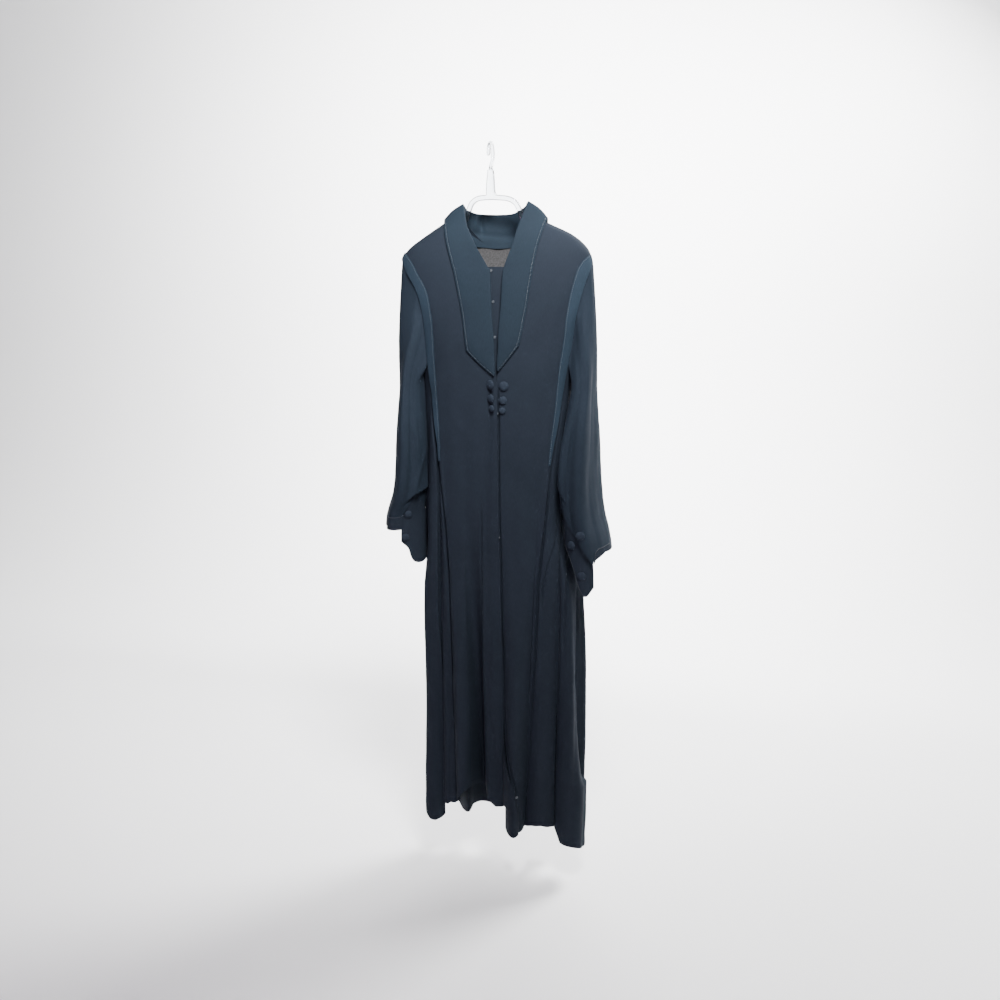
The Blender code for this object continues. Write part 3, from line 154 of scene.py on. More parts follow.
# Hem height against p.
HEM = {
    "p": (-1.0, -0.96, -0.92, -0.88, -0.86, -0.84, -0.82, -0.8, -0.78, -0.76, -0.74,
          -0.7, -0.66, -0.62, -0.58, -0.54, -0.5, -0.46, -0.44, -0.42, -0.4, -0.38,
          -0.36, -0.345, -0.33, -0.32, -0.3, -0.262, -0.24, -0.21, -0.18, -0.15, -0.09,
          -0.062, -0.03, 0.02, 0.056, 0.088, 0.106, 0.12, 0.152, 0.194, 0.24, 0.27, 0.286,
          0.3, 0.344, 0.382, 0.452, 0.6, 0.8),
    "z": (-1.612, -1.614, -1.617, -1.613, -1.61, -1.613, -1.616, -1.622, -1.628, -1.622, -1.61,
          -1.6, -1.585, -1.583, -1.58, -1.57, -1.566, -1.57, -1.58, -1.593, -1.606, -1.61,
          -1.604, -1.591, -1.576, -1.562, -1.551, -1.552, -1.546, -1.545, -1.539, -1.54, -1.554,
          -1.5, -1.53, -1.593, -1.597, -1.599, -1.596, -1.584, -1.574, -1.571, -1.577, -1.583,
          -1.602, -1.621, -1.626, -1.628, -1.643, -1.626, -1.61),
}
LEFT_LAP = {"p": (-0.23, -0.21, -0.18, -0.15, -0.12, -0.09, -0.06, -0.03, -0.002, 0.016,
                  0.032, 0.062),
            "z": (-1.546, -1.545, -1.539, -1.516, -1.496, -1.491, -1.508, -1.518, -1.522, -1.534,
                  -1.533, -1.52)}

# Left and right lapel: roll line (inner edge) and outer edge, each as x and z.
LAPEL_LEFT = (
    # (roll x, roll z, edge x, edge z)
    (0.015, -0.475, 0.012, -0.479),
    (0.014, -0.46, -0.005, -0.466),
    (0.012, -0.425, -0.044, -0.43),
    (0.011, -0.406, -0.05, -0.414),
    (0.004, -0.33, -0.06, -0.345),
    (0.0, -0.262, -0.077, -0.269),
    (-0.007, -0.248, -0.084, -0.245),
    (-0.037, -0.202, -0.098, -0.202),
    (-0.056, -0.169, -0.107, -0.169),
)
LAPEL_RIGHT = (
    (0.02, -0.464, 0.024, -0.468),
    (0.0205, -0.448, 0.04, -0.448),
    (0.0225, -0.421, 0.0625, -0.418),
    (0.023, -0.388, 0.0685, -0.405),
    (0.027, -0.33, 0.081, -0.34),
    (0.029, -0.274, 0.09, -0.274),
    (0.032, -0.25, 0.094, -0.245),
    (0.047, -0.206, 0.101, -0.206),
    (0.056, -0.169, 0.11, -0.169),
)
# Collar round the back of the neck: roll line and outer edge, left shoulder to right.
COLLAR_ROLL = (
    (-0.071, -0.002, -0.121), (-0.068, 0.016, -0.13), (-0.052, 0.036, -0.139),
    (-0.025, 0.048, -0.142), (0.005, 0.052, -0.1425), (0.032, 0.046, -0.14),
    (0.054, 0.033, -0.13), (0.068, 0.015, -0.122), (0.072, -0.002, -0.117),
)
COLLAR_EDGE_Z = (-0.156, -0.17, -0.193, -0.214, -0.222, -0.214, -0.193, -0.17, -0.154)
COLLAR_EDGE_X = (-0.112, -0.106, -0.084, -0.044, 0.0, 0.044, 0.086, 0.108, 0.115)
NECK_SEAM = (             # lower edge of the collar stand
    (-0.0735, -0.001, -0.142), (-0.069, 0.012, -0.157), (-0.056, 0.024, -0.185),
    (-0.03, 0.0335, -0.206), (0.0, 0.036, -0.2135), (0.03, 0.0335, -0.206),
    (0.056, 0.024, -0.185), (0.069, 0.012, -0.157), (0.0735, -0.001, -0.14),
)

NECK_DROP_Z = -0.21       # back neckline at the centre
NECK_X = 0.078            # neck end of the shoulder seam
NECK_Z = -0.14
NECK_CURVE = 2.2          # how round the neckline is

# Sleeve sections below the armhole: centre, half sizes, turn of the long axis in degrees,
# and the height and place of the pressed front crease.
SLEEVE_LEFT = {
    "z":      (-0.505, -0.6, -0.7, -0.76, -0.812, -0.93),
    "x":      (-0.187, -0.19, -0.193, -0.199, -0.208, -0.211),
    "y":      (-0.018, -0.024, -0.026, -0.024, -0.02, -0.02),
    "across": (0.025, 0.032, 0.035, 0.037, 0.043, 0.049),
    "along":  (0.05, 0.053, 0.055, 0.056, 0.056, 0.056),
    "turn":   (8.0, 14.0, 14.0, 10.0, 2.0, 0.0),
    "crease": (0.002, 0.008, 0.01, 0.01, 0.006, 0.004),
    "crease_at": (68.0, 68.0, 68.0, 68.0, 68.0, 68.0),
}
SLEEVE_RIGHT = {
    "z":      (-0.505, -0.6, -0.7, -0.78, -0.85, -0.98),
    "x":      (0.202, 0.201, 0.202, 0.208, 0.22, 0.224),
    "y":      (-0.014, -0.02, -0.024, -0.026, -0.028, -0.028),
    "across": (0.0245, 0.031, 0.0345, 0.0405, 0.0485, 0.0505),
    "along":  (0.05, 0.056, 0.06, 0.062, 0.062, 0.062),
    "turn":   (-10.0, -22.0, -28.0, -30.0, -30.0, -30.0),
    "crease": (0.002, 0.01, 0.012, 0.012, 0.008, 0.004),
    "crease_at": (50.0, 50.0, 50.0, 50.0, 50.0, 50.0),
}
SLEEVES = {-1: SLEEVE_LEFT, 1: SLEEVE_RIGHT}
CREASE_WIDTH = 0.35       # half width of the crease, radians round the sleeve
# Sleeve ends, by angle in degrees round the sleeve (0 outwards, 90 the front): where the
# sleeve's own cloth stops, where the cuff stops, and the button strip's top and foot.
SLEEVE_END = {
    -1: {"angle": (96.0, 105.0, 118.0, 130.0, 150.0, 168.0, 176.0, 230.0, 360.0, 440.0, 456.0),
         "z": (-0.802, -0.785, -0.765, -0.757, -0.775, -0.8, -0.813, -0.815, -0.811, -0.804,
               -0.802)},
    1: {"angle": (40.0, 62.0, 90.0, 112.0, 135.0, 168.0, 176.0, 220.0, 360.0, 385.0, 392.0, 400.0),
        "z": (-0.892, -0.842, -0.797, -0.768, -0.795, -0.82, -0.842, -0.846, -0.85, -0.853,
              -0.86, -0.892)},
}
CUFF_LOW = {
    -1: {"angle": (176.0, 230.0, 360.0, 440.0, 459.0),
         "z": (-0.84, -0.842, -0.837, -0.839, -0.838)},
    1: {"angle": (176.0, 220.0, 300.0, 360.0, 392.0, 398.0),
        "z": (-0.868, -0.872, -0.872, -0.867, -0.879, -0.889)},
}
STRIP = {
    -1: {"angle": (97.0, 106.0, 114.0, 120.0, 125.0, 134.0, 150.0, 172.0, 195.0),
         "top": (-0.794, -0.776, -0.763, -0.756, -0.75, -0.748, -0.762, -0.795, -0.8),
         "foot": (-0.868, -0.875, -0.881, -0.889, -0.905, -0.918, -0.9235, -0.92, -0.91)},
    1: {"angle": (34.0, 42.0, 51.0, 62.0, 76.0, 90.0, 105.0, 120.0, 150.0),
        "top": (-0.884, -0.878, -0.862, -0.832, -0.809, -0.787, -0.764, -0.764, -0.79),
        "foot": (-0.943, -0.952, -0.962, -0.957, -0.928, -0.9, -0.879, -0.864, -0.846)},
}
STRIP_SET = {-1: 0.0026, 1: 0.0034}  # how far the strip lies inside the sleeve's surface
# Columns of the sleeve, in degrees; they pass through every corner of the tables above.
SLEEVE_ANGLES = {
    -1: (0, 16, 34, 52, 68, 80, 96, 105, 118, 130, 150, 168, 176, 192, 210, 230, 250, 270, 288,
         306, 324, 340, 352),
    1: (0, 14, 25, 32, 40, 51, 62, 76, 90, 112, 135, 152, 168, 176, 195, 212, 230, 250, 270, 288,
        306, 324, 340, 352),
}

# Covered buttons: x and z on the front panels, diameter.
FRONT_BUTTONS = (
    ("left_1", 0.0065, -0.497, 0.021), ("left_2", 0.0075, -0.527, 0.018),
    ("left_3", 0.0095, -0.549, 0.015), ("right_1", 0.035, -0.5, 0.021),
    ("right_2", 0.033, -0.531, 0.018), ("right_3", 0.032, -0.554, 0.015),
)
# On the sleeves: side, angle, height, diameter.
CUFF_BUTTONS = (
    ("left_1", -1, 114.0, -0.803, 0.0185),
    ("left_2", -1, 110.0, -0.858, 0.0185),
    ("right_1", 1, 56.0, -0.82, 0.02),
    ("right_2", 1, 90.0, -0.849, 0.02),
    ("right_3", 1, 62.0, -0.915, 0.02),
)
BUTTON_DOME = 0.0046
BUTTON_RIM = 0.0012       # height of the widest point
BUTTON_STEPS = 52

# Under-placket: left and right edge in x, and how far it lies behind the body's surface.
PLACKET = {
    "z":     (-0.248, -0.33, -0.43, -0.472, -0.5, -0.768, -1.09, -1.3, -1.49),
    "left":  (-0.007, -0.003, 0.003, 0.005, 0.006, 0.005, 0.008, 0.016, 0.042),
    "right": (0.037, 0.036, 0.037, 0.039, 0.04, 0.038, 0.039, 0.046, 0.064),
    "set":   (0.0075, 0.0075, 0.0075, 0.0065, 0.0036, 0.0036, 0.006, 0.01, 0.0125),
}

# Hanger, in its own plane: each side's centre line down to the neck's corner; the arms
# follow the shoulders from there. Sizes of the neck and the hook.
HANGER_DEPTH = 0.007
HANGER_HALF = 0.0055
HANGER_LINE = {
    -1: ((0.0, -0.106), (-0.026, -0.1085), (-0.04, -0.117), (-0.047, -0.131),
         (-0.053, -0.15), (-0.068, -0.168)),
    1: ((0.0, -0.106), (0.034, -0.1085), (0.052, -0.116), (0.062, -0.131),
        (0.07, -0.15), (0.086, -0.167)),
}
HANGER_ARM_END = {-1: -0.165, 1: 0.178}
HANGER_DROP = 0.0075      # the arms' top edge below the shoulder's ridge
HANGER_NECK = ((0.01, -0.093), (0.0085, -0.07), (0.0065, -0.05))
HOOK_RADIUS = 0.0215      # of the hook's centre line
HOOK_WIRE = 0.004         # radius of the hook's bar


# ---------------------------------------------------------------- small tools
def unit(vectors):
    """The vectors at length 1."""
    return vectors / (np.linalg.norm(vectors, axis=-1, keepdims=True) + TINY)


def run_length(grid, axis):
    """Distance from the first point to each point along one axis of a grid."""
    steps = np.linalg.norm(np.diff(grid, axis=axis), axis=-1)
    zero = np.zeros_like(np.take(steps, [0], axis=axis))
    return np.cumsum(np.concatenate((zero, steps), axis=axis), axis=axis)


def points_at(at, run, points):
    """Points at the given distances along a run of points."""
    return np.array([np.interp(at, run, column) for column in points.T]).T


def curve(a, b, c, d, t):
    """A smooth curve from b to c that a and d steer."""
    return 0.5 * (2 * b + (c - a) * t + (2 * a - 5 * b + 4 * c - d) * t**2
                  + (3 * b - a - 3 * c + d) * t**3)


def through(points, count):
    """A smooth run through the points, count places evenly spaced by row."""
    points = np.asarray(points, float)
    at = np.linspace(0, len(points) - 1, count)
    i = np.clip(at.astype(int), 0, len(points) - 2)
    t = (at - i).reshape((-1,) + (1,) * (points.ndim - 1))
    ends = (2 * points[:1] - points[1:2], points, 2 * points[-1:] - points[-2:-1])
    padded = np.concatenate(ends)
    return curve(*(padded[i + k] for k in range(4)), t)


def ring_through(points, at):
    """The same for a closed ring, at the given places."""
    i = np.floor(at).astype(int)
    return curve(*(points[(i + k) % len(points)] for k in (-1, 0, 1, 2)), (at - i)[:, None])


def bump_at(distance, width):
    """1 at no distance, falling away over the width."""
    return np.exp(-(distance / width) ** 2)


def ridge(u, v, end_u, end_v, height, width):
    """A soft ridge from (0, 0) to its end, at places u, v."""
    length = math.hypot(end_u, end_v)
    along = (u * end_u + v * end_v) / length
    across = (u * end_v - v * end_u) / length
    return height * np.sin(math.pi * np.clip(along / length, 0, 1)) * bump_at(across, width)


def centred(degrees):
    """The same angles, between -180 and 180 degrees."""
    return (degrees + 180.0) % 360.0 - 180.0


# ---------------------------------------------------------------- the body's surface
def smooth(table, key, z, along="z"):
    """The table's column as a smooth curve (cubic, with slopes from the rows beside)."""
    knots = np.asarray(table[along], float)
    values = np.asarray(table[key], float)
    if knots[0] > knots[-1]:
        knots, values = knots[::-1], values[::-1]
    step = np.diff(values) / np.diff(knots)
    slope = np.concatenate(([step[0]], (step[:-1] + step[1:]) / 2, [step[-1]]))
    z = np.clip(np.asarray(z, float), knots[0], knots[-1])
    i = np.clip(np.searchsorted(knots, z, side="right") - 1, 0, len(knots) - 2)
    width = knots[i + 1] - knots[i]
    t = (z - knots[i]) / width
    return ((2 * t**3 - 3 * t**2 + 1) * values[i] + (t**3 - 2 * t**2 + t) * width * slope[i]
            + (3 * t**2 - 2 * t**3) * values[i + 1] + (t**3 - t**2) * width * slope[i + 1])


def ramp(value, start, end):
    """0 at start, 1 at end, eased."""
    t = np.clip((value - start) / (end - start), 0.0, 1.0)
    return t * t * (3 - 2 * t)


def half_width(x_or_p, z):
    """Half the body's width at height z, on the side where x or p lies."""
    return np.where(x_or_p < 0, -smooth(SECTIONS, "left", z), smooth(SECTIONS, "right", z))


def p_at(x, z, back=False):
    """The place round the garment of a point at x, on the front or the back."""
    share = np.clip(np.abs(x) / half_width(x, z), 0.0, 1.0)
    p = np.arcsin(share ** (SQUARE / 2)) / math.pi
    return np.sign(x) * ((1.0 - p) if back else p)


def plain(p, z):
    """The body without flutes."""
    angle = np.abs(p) * math.pi
    x = np.sign(p) * half_width(p, z) * np.abs(np.sin(angle)) ** (2 / SQUARE)
    depth = np.where(angle < math.pi / 2, -smooth(SECTIONS, "front", z), smooth(SECTIONS, "back", z))
    return x, depth * np.abs(np.cos(angle)) ** (2 / SQUARE)


def flute(p, edges, depth, z, start):
    """A rounded flute between two lines; it deepens from its start down to the hem."""
    near, far = edges
    t = np.clip((p - near) / np.maximum(far - near, 1e-6), 0.0, 1.0)
    return depth * np.sin(math.pi * t) ** 0.9 * ramp(z, start, FLUTE_FULL_Z) ** 0.8


def flute_depth(p, z):
    """How far all flutes together stand out."""
    total = np.zeros_like(p)
    fall = np.clip((PLEAT_Z - z) / (PLEAT_Z - HEM_Z), 0.0, HEM_OVER)
    for left_top, left_hem, right_top, right_hem, depth, start in FRONT_FLUTES:
        left = p_at(left_top + (left_hem - left_top) * fall, z)
        right = p_at(right_top + (right_hem - right_top) * fall, z)
        total += flute(p, (left, right), depth, z, start)
    for near, far, depth, start in ROUND_FLUTES:
        total += flute(np.abs(p), (near, far), depth, z, start)
    return total


def body_point(p, z):
    """The body's surface with its flutes."""
    p, z = np.broadcast_arrays(np.asarray(p, float), np.asarray(z, float))
    x, y = plain(p, z)
    x_next, y_next = plain(p + STEP_ROUND, z)
    x_last, y_last = plain(p - STEP_ROUND, z)
    length = np.hypot(x_next - x_last, y_next - y_last) + TINY
    depth = flute_depth(p, z)
    x = x + (y_next - y_last) / length * depth
    y = y - (x_next - x_last) / length * depth
    return np.stack([x + GARMENT_X, y, z], axis=-1)


def body_normal(p, z):
    """Outward normal of the surface, from points a little way round and down."""
    p, z = np.broadcast_arrays(np.asarray(p, float), np.asarray(z, float))
    around = body_point(p + STEP_ROUND, z) - body_point(p - STEP_ROUND, z)
    down = body_point(p, z - STEP_DOWN) - body_point(p, z + STEP_DOWN)
    return unit(np.cross(down, around))


# ---------------------------------------------------------------- settings
class AbayaCloth(bpy.types.PropertyGroup):
    """Colours and make of the cloth."""
    body: FloatVectorProperty(
        name="Body cloth", description="Colour of the body, sleeves and buttons",
        subtype="COLOR", size=3, min=0.0, max=1.0, default=(0.0085, 0.0116, 0.0171))
    contrast: FloatVectorProperty(
        name="Trim cloth", description="Colour of the lapels, collar and armhole bands",
        subtype="COLOR", size=3, min=0.0, max=1.0, default=(0.0079, 0.0126, 0.0185))
    patch: FloatVectorProperty(
        name="Neck piece", description="Colour of the marled piece inside the back neck",
        subtype="COLOR", size=3, min=0.0, max=1.0, default=(0.0205, 0.0199, 0.0214))
    thread: FloatVectorProperty(
        name="Thread", description="Colour of the topstitching",
        subtype="COLOR", size=3, min=0.0, max=1.0, default=(0.015, 0.022, 0.031))
    weave: FloatProperty(
        name="Weave", description="Distance from one thread of the weave to the next",
        unit="LENGTH", min=0.0003, max=0.003, default=0.0008)
    thickness: FloatProperty(
        name="Thickness", description="Thickness of one layer of cloth",
        unit="LENGTH", min=0.0004, max=0.0018, default=0.001)
    stitch: FloatProperty(
        name="Stitch", description="Length of one stitch with its gap",
        unit="LENGTH", min=0.002, max=0.008, default=0.0042)


class AbayaFolds(bpy.types.PropertyGroup):
    """How the cloth hangs."""
    ripple: FloatProperty(
        name="Ripple", description="Depth of the soft upright ripples at the hem",
        unit="LENGTH", min=0.0, max=0.004, default=0.0016)
    crease: FloatProperty(
        name="Crease", description="Share of each crease's full depth",
        subtype="FACTOR", min=0.0, max=1.5, default=1.0)
    columns: IntProperty(
        name="Columns", description="Points across each front panel",
        min=60, max=180, default=140)
    rows: IntProperty(
        name="Rows", description="Points down each body panel below the shoulder",
        min=60, max=220, default=150)


class AbayaStudio(bpy.types.PropertyGroup):
    """Floor, backdrop and lights."""
    floor: FloatVectorProperty(
        name="Floor", description="Colour of the floor and backdrop",
        subtype="COLOR", size=3, min=0.0, max=1.0, default=(0.94, 0.94, 0.945))
    key: FloatProperty(
        name="Key light", description="Power of the soft spotlight high in front, in watts",
        unit="POWER", min=0.0, max=1600.0, default=800.0)
    fill: FloatProperty(
        name="Fill light", description="Power of the light opposite the key, in watts",
        unit="POWER", min=0.0, max=400.0, default=11.0)
    wash: FloatProperty(
        name="Backdrop light", description="Power of each light on the backdrop, in watts",
        unit="POWER", min=0.0, max=800.0, default=110.0)
    sky: FloatProperty(
        name="Room light", description="Strength of the even light all round",
        min=0.0, max=3.0, default=0.34)


def cloth():
    return bpy.context.scene.abaya_cloth


def folds():
    return bpy.context.scene.abaya_folds


# ---------------------------------------------------------------- materials
def new_material(name, **sockets):
    """A material with its plain values set on the shader itself."""
    mat = bpy.data.materials.new(name)
    mat.use_nodes = True
    shader = mat.node_tree.nodes["Principled BSDF"]
    for key, value in sockets.items():
        shader.inputs[key.replace("_", " ").title().replace("Ior", "IOR")].default_value = value
    return mat, mat.node_tree, shader


def add_node(tree, kind, *sources, out=0, **values):
    """Adds a node fed by the sources in order, and gives one of its outputs.

    Values named i_ and a number go on that input, the rest on the node."""
    node = tree.nodes.new("ShaderNode" + kind)
    for key, value in values.items():
        if key.startswith("i_"):
            node.inputs[int(key[2:])].default_value = value
        else:
            setattr(node, key, value)
    for index, source in enumerate(sources):
        if source is not None:
            tree.links.new(source, node.inputs[index])
    return node.outputs[out]


def place_on(tree):
    """Places in the object's own space."""
    return add_node(tree, "TexCoord", out="Object")


def noise(tree, place, scale, detail, roughness=0.5):
    return add_node(tree, "TexNoise", place, i_2=scale, i_3=detail, i_4=roughness)


def spread_to(tree, value, low, high, new_low, new_high):
    """Maps the values from low to high onto the new range."""
    return add_node(tree, "MapRange", value, i_1=low, i_2=high, i_3=new_low, i_4=new_high)


def shade_colour(tree, shader, colour, shade):
    """Colours the shader with one colour, lighter or darker by the shade."""
    tint = add_node(tree, "VectorMath", None, shade, operation="MULTIPLY", i_0=colour)
    tree.links.new(tint, shader.inputs["Base Color"])


def vary_roughness(tree, shader, value):
    tree.links.new(value, shader.inputs["Roughness"])


def add_bump(tree, shader, height, strength, distance):
    """Links a height to input 2 of a bump node, its filter width; input 3 would show it."""
    bump = add_node(tree, "Bump", None, None, height, i_0=strength, i_1=distance)
    tree.links.new(bump, shader.inputs["Normal"])


def cloth_material(name, colour, weave=None, grain=0.1, cloud=0.05, sheen=0.14):
    """Woven crepe: threads both ways, slubs along them, and a soft drift of shade."""
    weave = weave or cloth().weave
    mat, tree, shader = new_material(name, sheen_weight=sheen, sheen_roughness=0.42,
                                     sheen_tint=(*[min(1.0, c * 2.4) for c in colour], 1.0),
                                     specular_ior_level=0.06)
    uv = add_node(tree, "UVMap")
    threads = [add_node(tree, "TexWave", uv, out="Fac", bands_direction=axis, i_1=0.314 / weave,
                        i_2=0.6, i_3=2.0, i_4=1.5) for axis in ("X", "Y")]
    woven = add_node(tree, "Math", *threads, operation="MAXIMUM")
    along = add_node(tree, "Mapping", uv, i_3=(1.0, 0.16, 1.0))
    slub = spread_to(tree, noise(tree, along, 0.55 / weave, 3.0, 0.6),
                     0.3, 0.7, 1.0 - grain, 1.0 + grain)
    drift = spread_to(tree, noise(tree, place_on(tree), 5.5, 3.0, 0.55),
                      0.3, 0.7, 1.0 - cloud, 1.0 + cloud)
    shade_colour(tree, shader, colour, add_node(tree, "Math", slub, drift, operation="MULTIPLY"))
    crepe = noise(tree, uv, 0.42 / weave, 2.0)
    vary_roughness(tree, shader, spread_to(tree, crepe, 0.2, 0.8, 0.72, 0.88))
    height = add_node(tree, "Math", woven, crepe, operation="ADD")
    add_bump(tree, shader, height, 0.45, 0.00022)
    return mat


def marl_material(name, colour):
    """Marled piece: pale and dark fibres spun together."""
    mat, tree, shader = new_material(name, roughness=0.85, sheen_weight=0.3)
    uv = add_node(tree, "UVMap")
    fleck = noise(tree, uv, 260.0, 4.0, 0.85)
    shade_colour(tree, shader, colour, spread_to(tree, fleck, 0.34, 0.66, 0.15, 1.85))
    add_bump(tree, shader, noise(tree, uv, 1100.0, 2.0, 0.6), 0.5, 0.0003)
    return mat


def thread_material(name, colour):
    """Twisted thread."""
    mat, tree, shader = new_material(name, base_color=(*colour, 1.0), roughness=0.55,
                                     sheen_weight=0.25)
    twist = add_node(tree, "TexWave", place_on(tree), out="Fac", bands_direction="DIAGONAL",
                     i_1=900.0, i_2=0.5)
    add_bump(tree, shader, twist, 0.4, 0.0002)
    return mat


def clear_material(name, tint):
    """Clear moulded plastic with a faint flow of uneven surface."""
    mat, tree, shader = new_material(name, base_color=(*tint, 1.0), roughness=0.04,
                                     ior=1.49, transmission_weight=1.0)
    add_bump(tree, shader, noise(tree, place_on(tree), 60.0, 2.0), 0.15, 0.0006)
    return mat


def snap_material(name):
    """Dark lacquered metal, a little uneven in its gloss."""
    mat, tree, shader = new_material(name, base_color=(0.018, 0.023, 0.031, 1.0), metallic=0.1)
    wear = noise(tree, place_on(tree), 900.0, 3.0, 0.6)
    vary_roughness(tree, shader, spread_to(tree, wear, 0.0, 1.0, 0.42, 0.64))
    return mat


# ---------------------------------------------------------------- meshes
def add_piece(name, vertices, faces, mat, nodes=(), uv=None, sharp=48.0):
    """Makes a piece that rides on the body and stands for the named nodes."""
    mesh = bpy.data.meshes.new(name)
    mesh.from_pydata(np.asarray(vertices, float).tolist(), [], faces)
    if uv is not None:
        layer = mesh.uv_layers.new(name="UVMap")
        loops = np.empty(len(mesh.loops), np.int32)
        mesh.loops.foreach_get("vertex_index", loops)
        layer.data.foreach_set("uv", np.asarray(uv, np.float32)[loops].ravel())
    mesh.shade_smooth()
    mesh.set_sharp_from_angle(angle=math.radians(sharp))
    item = bpy.data.objects.new(name, mesh)
    bpy.context.scene.collection.objects.link(item)
    item.data.materials.append(mat)
    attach(item, "root")
    if nodes:
        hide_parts(*nodes)
    return item


def grid_faces(rows, columns, start=0, closed=False, flip=False):
    """Faces of a grid of points; a closed one joins its last column to its first."""
    faces = []
    for i in range(rows - 1):
        for j in range(columns if closed else columns - 1):
            k = (j + 1) % columns
            a, b = start + i * columns + j, start + (i + 1) * columns + j
            c, d = start + (i + 1) * columns + k, start + i * columns + k
            faces.append((a, d, c, b) if flip else (a, b, c, d))
    return faces


def cloth_wall(node, outer, inner, mat, closed=False):
    """A wall of cloth between two grids of points, rows by columns."""
    rows, columns = outer.shape[:2]
    count = rows * columns
    faces = grid_faces(rows, columns, 0, closed) + grid_faces(rows, columns, count, closed, True)
    last = (rows - 1) * columns
    for j in range(columns if closed else columns - 1):
        k = (j + 1) % columns
        faces.append((j, k, count + k, count + j))
        faces.append((last + k, last + j, count + last + j, count + last + k))
    if not closed:
        for i in range(rows - 1):
            a, b = i * columns, (i + 1) * columns
            faces.append((b, a, count + a, count + b))
            a, b = a + columns - 1, b + columns - 1
            faces.append((a, b, count + b, count + a))
    uv = np.stack([run_length(outer, 1), -run_length(outer, 0)], axis=-1).reshape(-1, 2)
    vertices = np.concatenate((outer.reshape(-1, 3), inner.reshape(-1, 3)))
    item = add_piece(node + "_cloth", vertices, faces, mat, nodes=(node,),
                     uv=np.concatenate((uv, uv)))


# ---------------------------------------------------------------- how the body's cloth hangs
# Creases down the front: places as (z, x), height of the fold's lip, and its two widths, on
# the side towards -X and towards +X.
CREASES = (
    # the left princess seam's folded edge
    (((-0.5, -0.133), (-0.575, -0.129), (-0.7, -0.113), (-0.8, -0.1035),
      (-0.95, -0.0925), (-1.11, -0.087), (-1.29, -0.0835), (-1.54, -0.074)), 0.0038, 0.0016, 0.016),
    # the fold beside it
    (((-0.54, -0.134), (-0.68, -0.1235), (-0.76, -0.1215), (-0.9, -0.1225), (-1.05, -0.124),
      (-1.25, -0.117), (-1.56, -0.115)), 0.0042, 0.014, 0.0018),
    # pressed edge of the left facing
    (((-0.74, -0.0145), (-1.0, -0.015), (-1.3, -0.014), (-1.45, -0.008)),
     0.0018, 0.0012, 0.012),
    # the right princess seam's folded edge
    (((-0.5, 0.16), (-0.6, 0.147), (-0.7, 0.133), (-0.85, 0.1195), (-0.95, 0.111),
      (-1.15, 0.105), (-1.3, 0.096), (-1.56, 0.085)), 0.0044, 0.015, 0.0018),
    # upright fold right of it
    (((-0.7, 0.156), (-0.85, 0.156), (-1.0, 0.158), (-1.25, 0.156), (-1.4, 0.154),
      (-1.59, 0.153)), 0.004, 0.015, 0.0018),
    # short folds between them
    (((-0.76, 0.152), (-0.86, 0.142), (-0.96, 0.119)), 0.0024, 0.009, 0.0018),
    (((-0.74, 0.17), (-0.9, 0.173), (-1.08, 0.168)), 0.0026, 0.011, 0.0018),
)
CREASE_STEP = 0.0028      # from a fold's lip to the groove at its foot
CREASE_GROOVE = 1.25      # depth of that groove, as a share of the lip's height
CREASE_STARTS = 0.1       # each crease fades in and out over these heights
CREASE_ENDS = 0.06
SLANTS = (                # broad slanting draws on the front: start and end as (x, z), height, half width
    ((0.018, -1.06), (0.002, -1.3), 0.0016, 0.006),
    ((0.025, -0.715), (0.062, -0.7), 0.001, 0.005),
    ((-0.09, -0.56), (-0.025, -0.64), 0.0008, 0.012),
    ((0.13, -0.43), (0.06, -0.56), 0.0008, 0.014),
)


def crease_height(x, z):
    """Height of the creases at places on the front."""
    total = np.zeros_like(x)
    for places, height, near, far in CREASES:
        places = np.array(places)
        line = np.interp(-z, -places[:, 0], places[:, 1])
        fade = ramp(-z, -places[0, 0], -places[0, 0] + CREASE_STARTS)
        fade = fade * (1 - ramp(-z, -places[-1, 0], -places[-1, 0] + CREASE_ENDS))
        gap = (x - line) * np.sign(far - near)      # above 0 on the broad side of the fold
        broad, sharp = max(near, far), min(near, far)
        shape = np.where(gap > 0, np.exp(-gap / broad), np.exp(gap / sharp))
        groove = bump_at(gap + CREASE_STEP, CREASE_STEP * 0.75)
        total += height * fade * (shape - CREASE_GROOVE * groove)
    for (x0, z0), (x1, z1), height, width in SLANTS:
        total += ridge(x - x0, z - z0, x1 - x0, z1 - z0, height, width)
    return total * folds().crease


LAP_SHADOW = 0.0045       # depth and half width of the fold behind the lap's edge
LAP_SHADOW_WIDTH = 0.0024
SIDE_POUCH = (-0.5, -0.82, 0.0064, 0.07, 0.1)  # p, z, height, half width, half height
# Upright ripples: how many round the body, where they start, how they drift, their share.
RIPPLES = ((9, 0.4, 2.1, 1.0), (14, 2.2, 3.3, 0.8), (23, 4.1, 4.6, 0.5), (37, 1.3, 7.0, 0.25))
CRUMPLE = 0.00016
CRUMPLE_WAVES = ((31, 17, 0.3), (-24, 29, 1.7), (53, 11, 2.9), (-47, 38, 4.4), (71, -45, 0.9),
                 (15, 63, 5.2))


def ripple(p, z):
    """Soft upright ripples all round, deeper towards the hem."""
    total = np.zeros_like(p)
    for turns, phase, drift, share in RIPPLES:
        total += share * np.sin(math.pi * turns * p + phase + 0.9 * np.sin(drift * z + phase))
    return total * folds().ripple * ramp(-z, 0.35, 1.3)


def crumple(p, z):
    """Small soft unevenness that cloth keeps."""
    u = p * 0.95
    total = np.zeros_like(u)
    for k, (a, b, c) in enumerate(CRUMPLE_WAVES):
        total += np.sin(a * u + b * z + c + 1.3 * np.sin(0.41 * b * u - 0.37 * a * z + k))
    return total * CRUMPLE


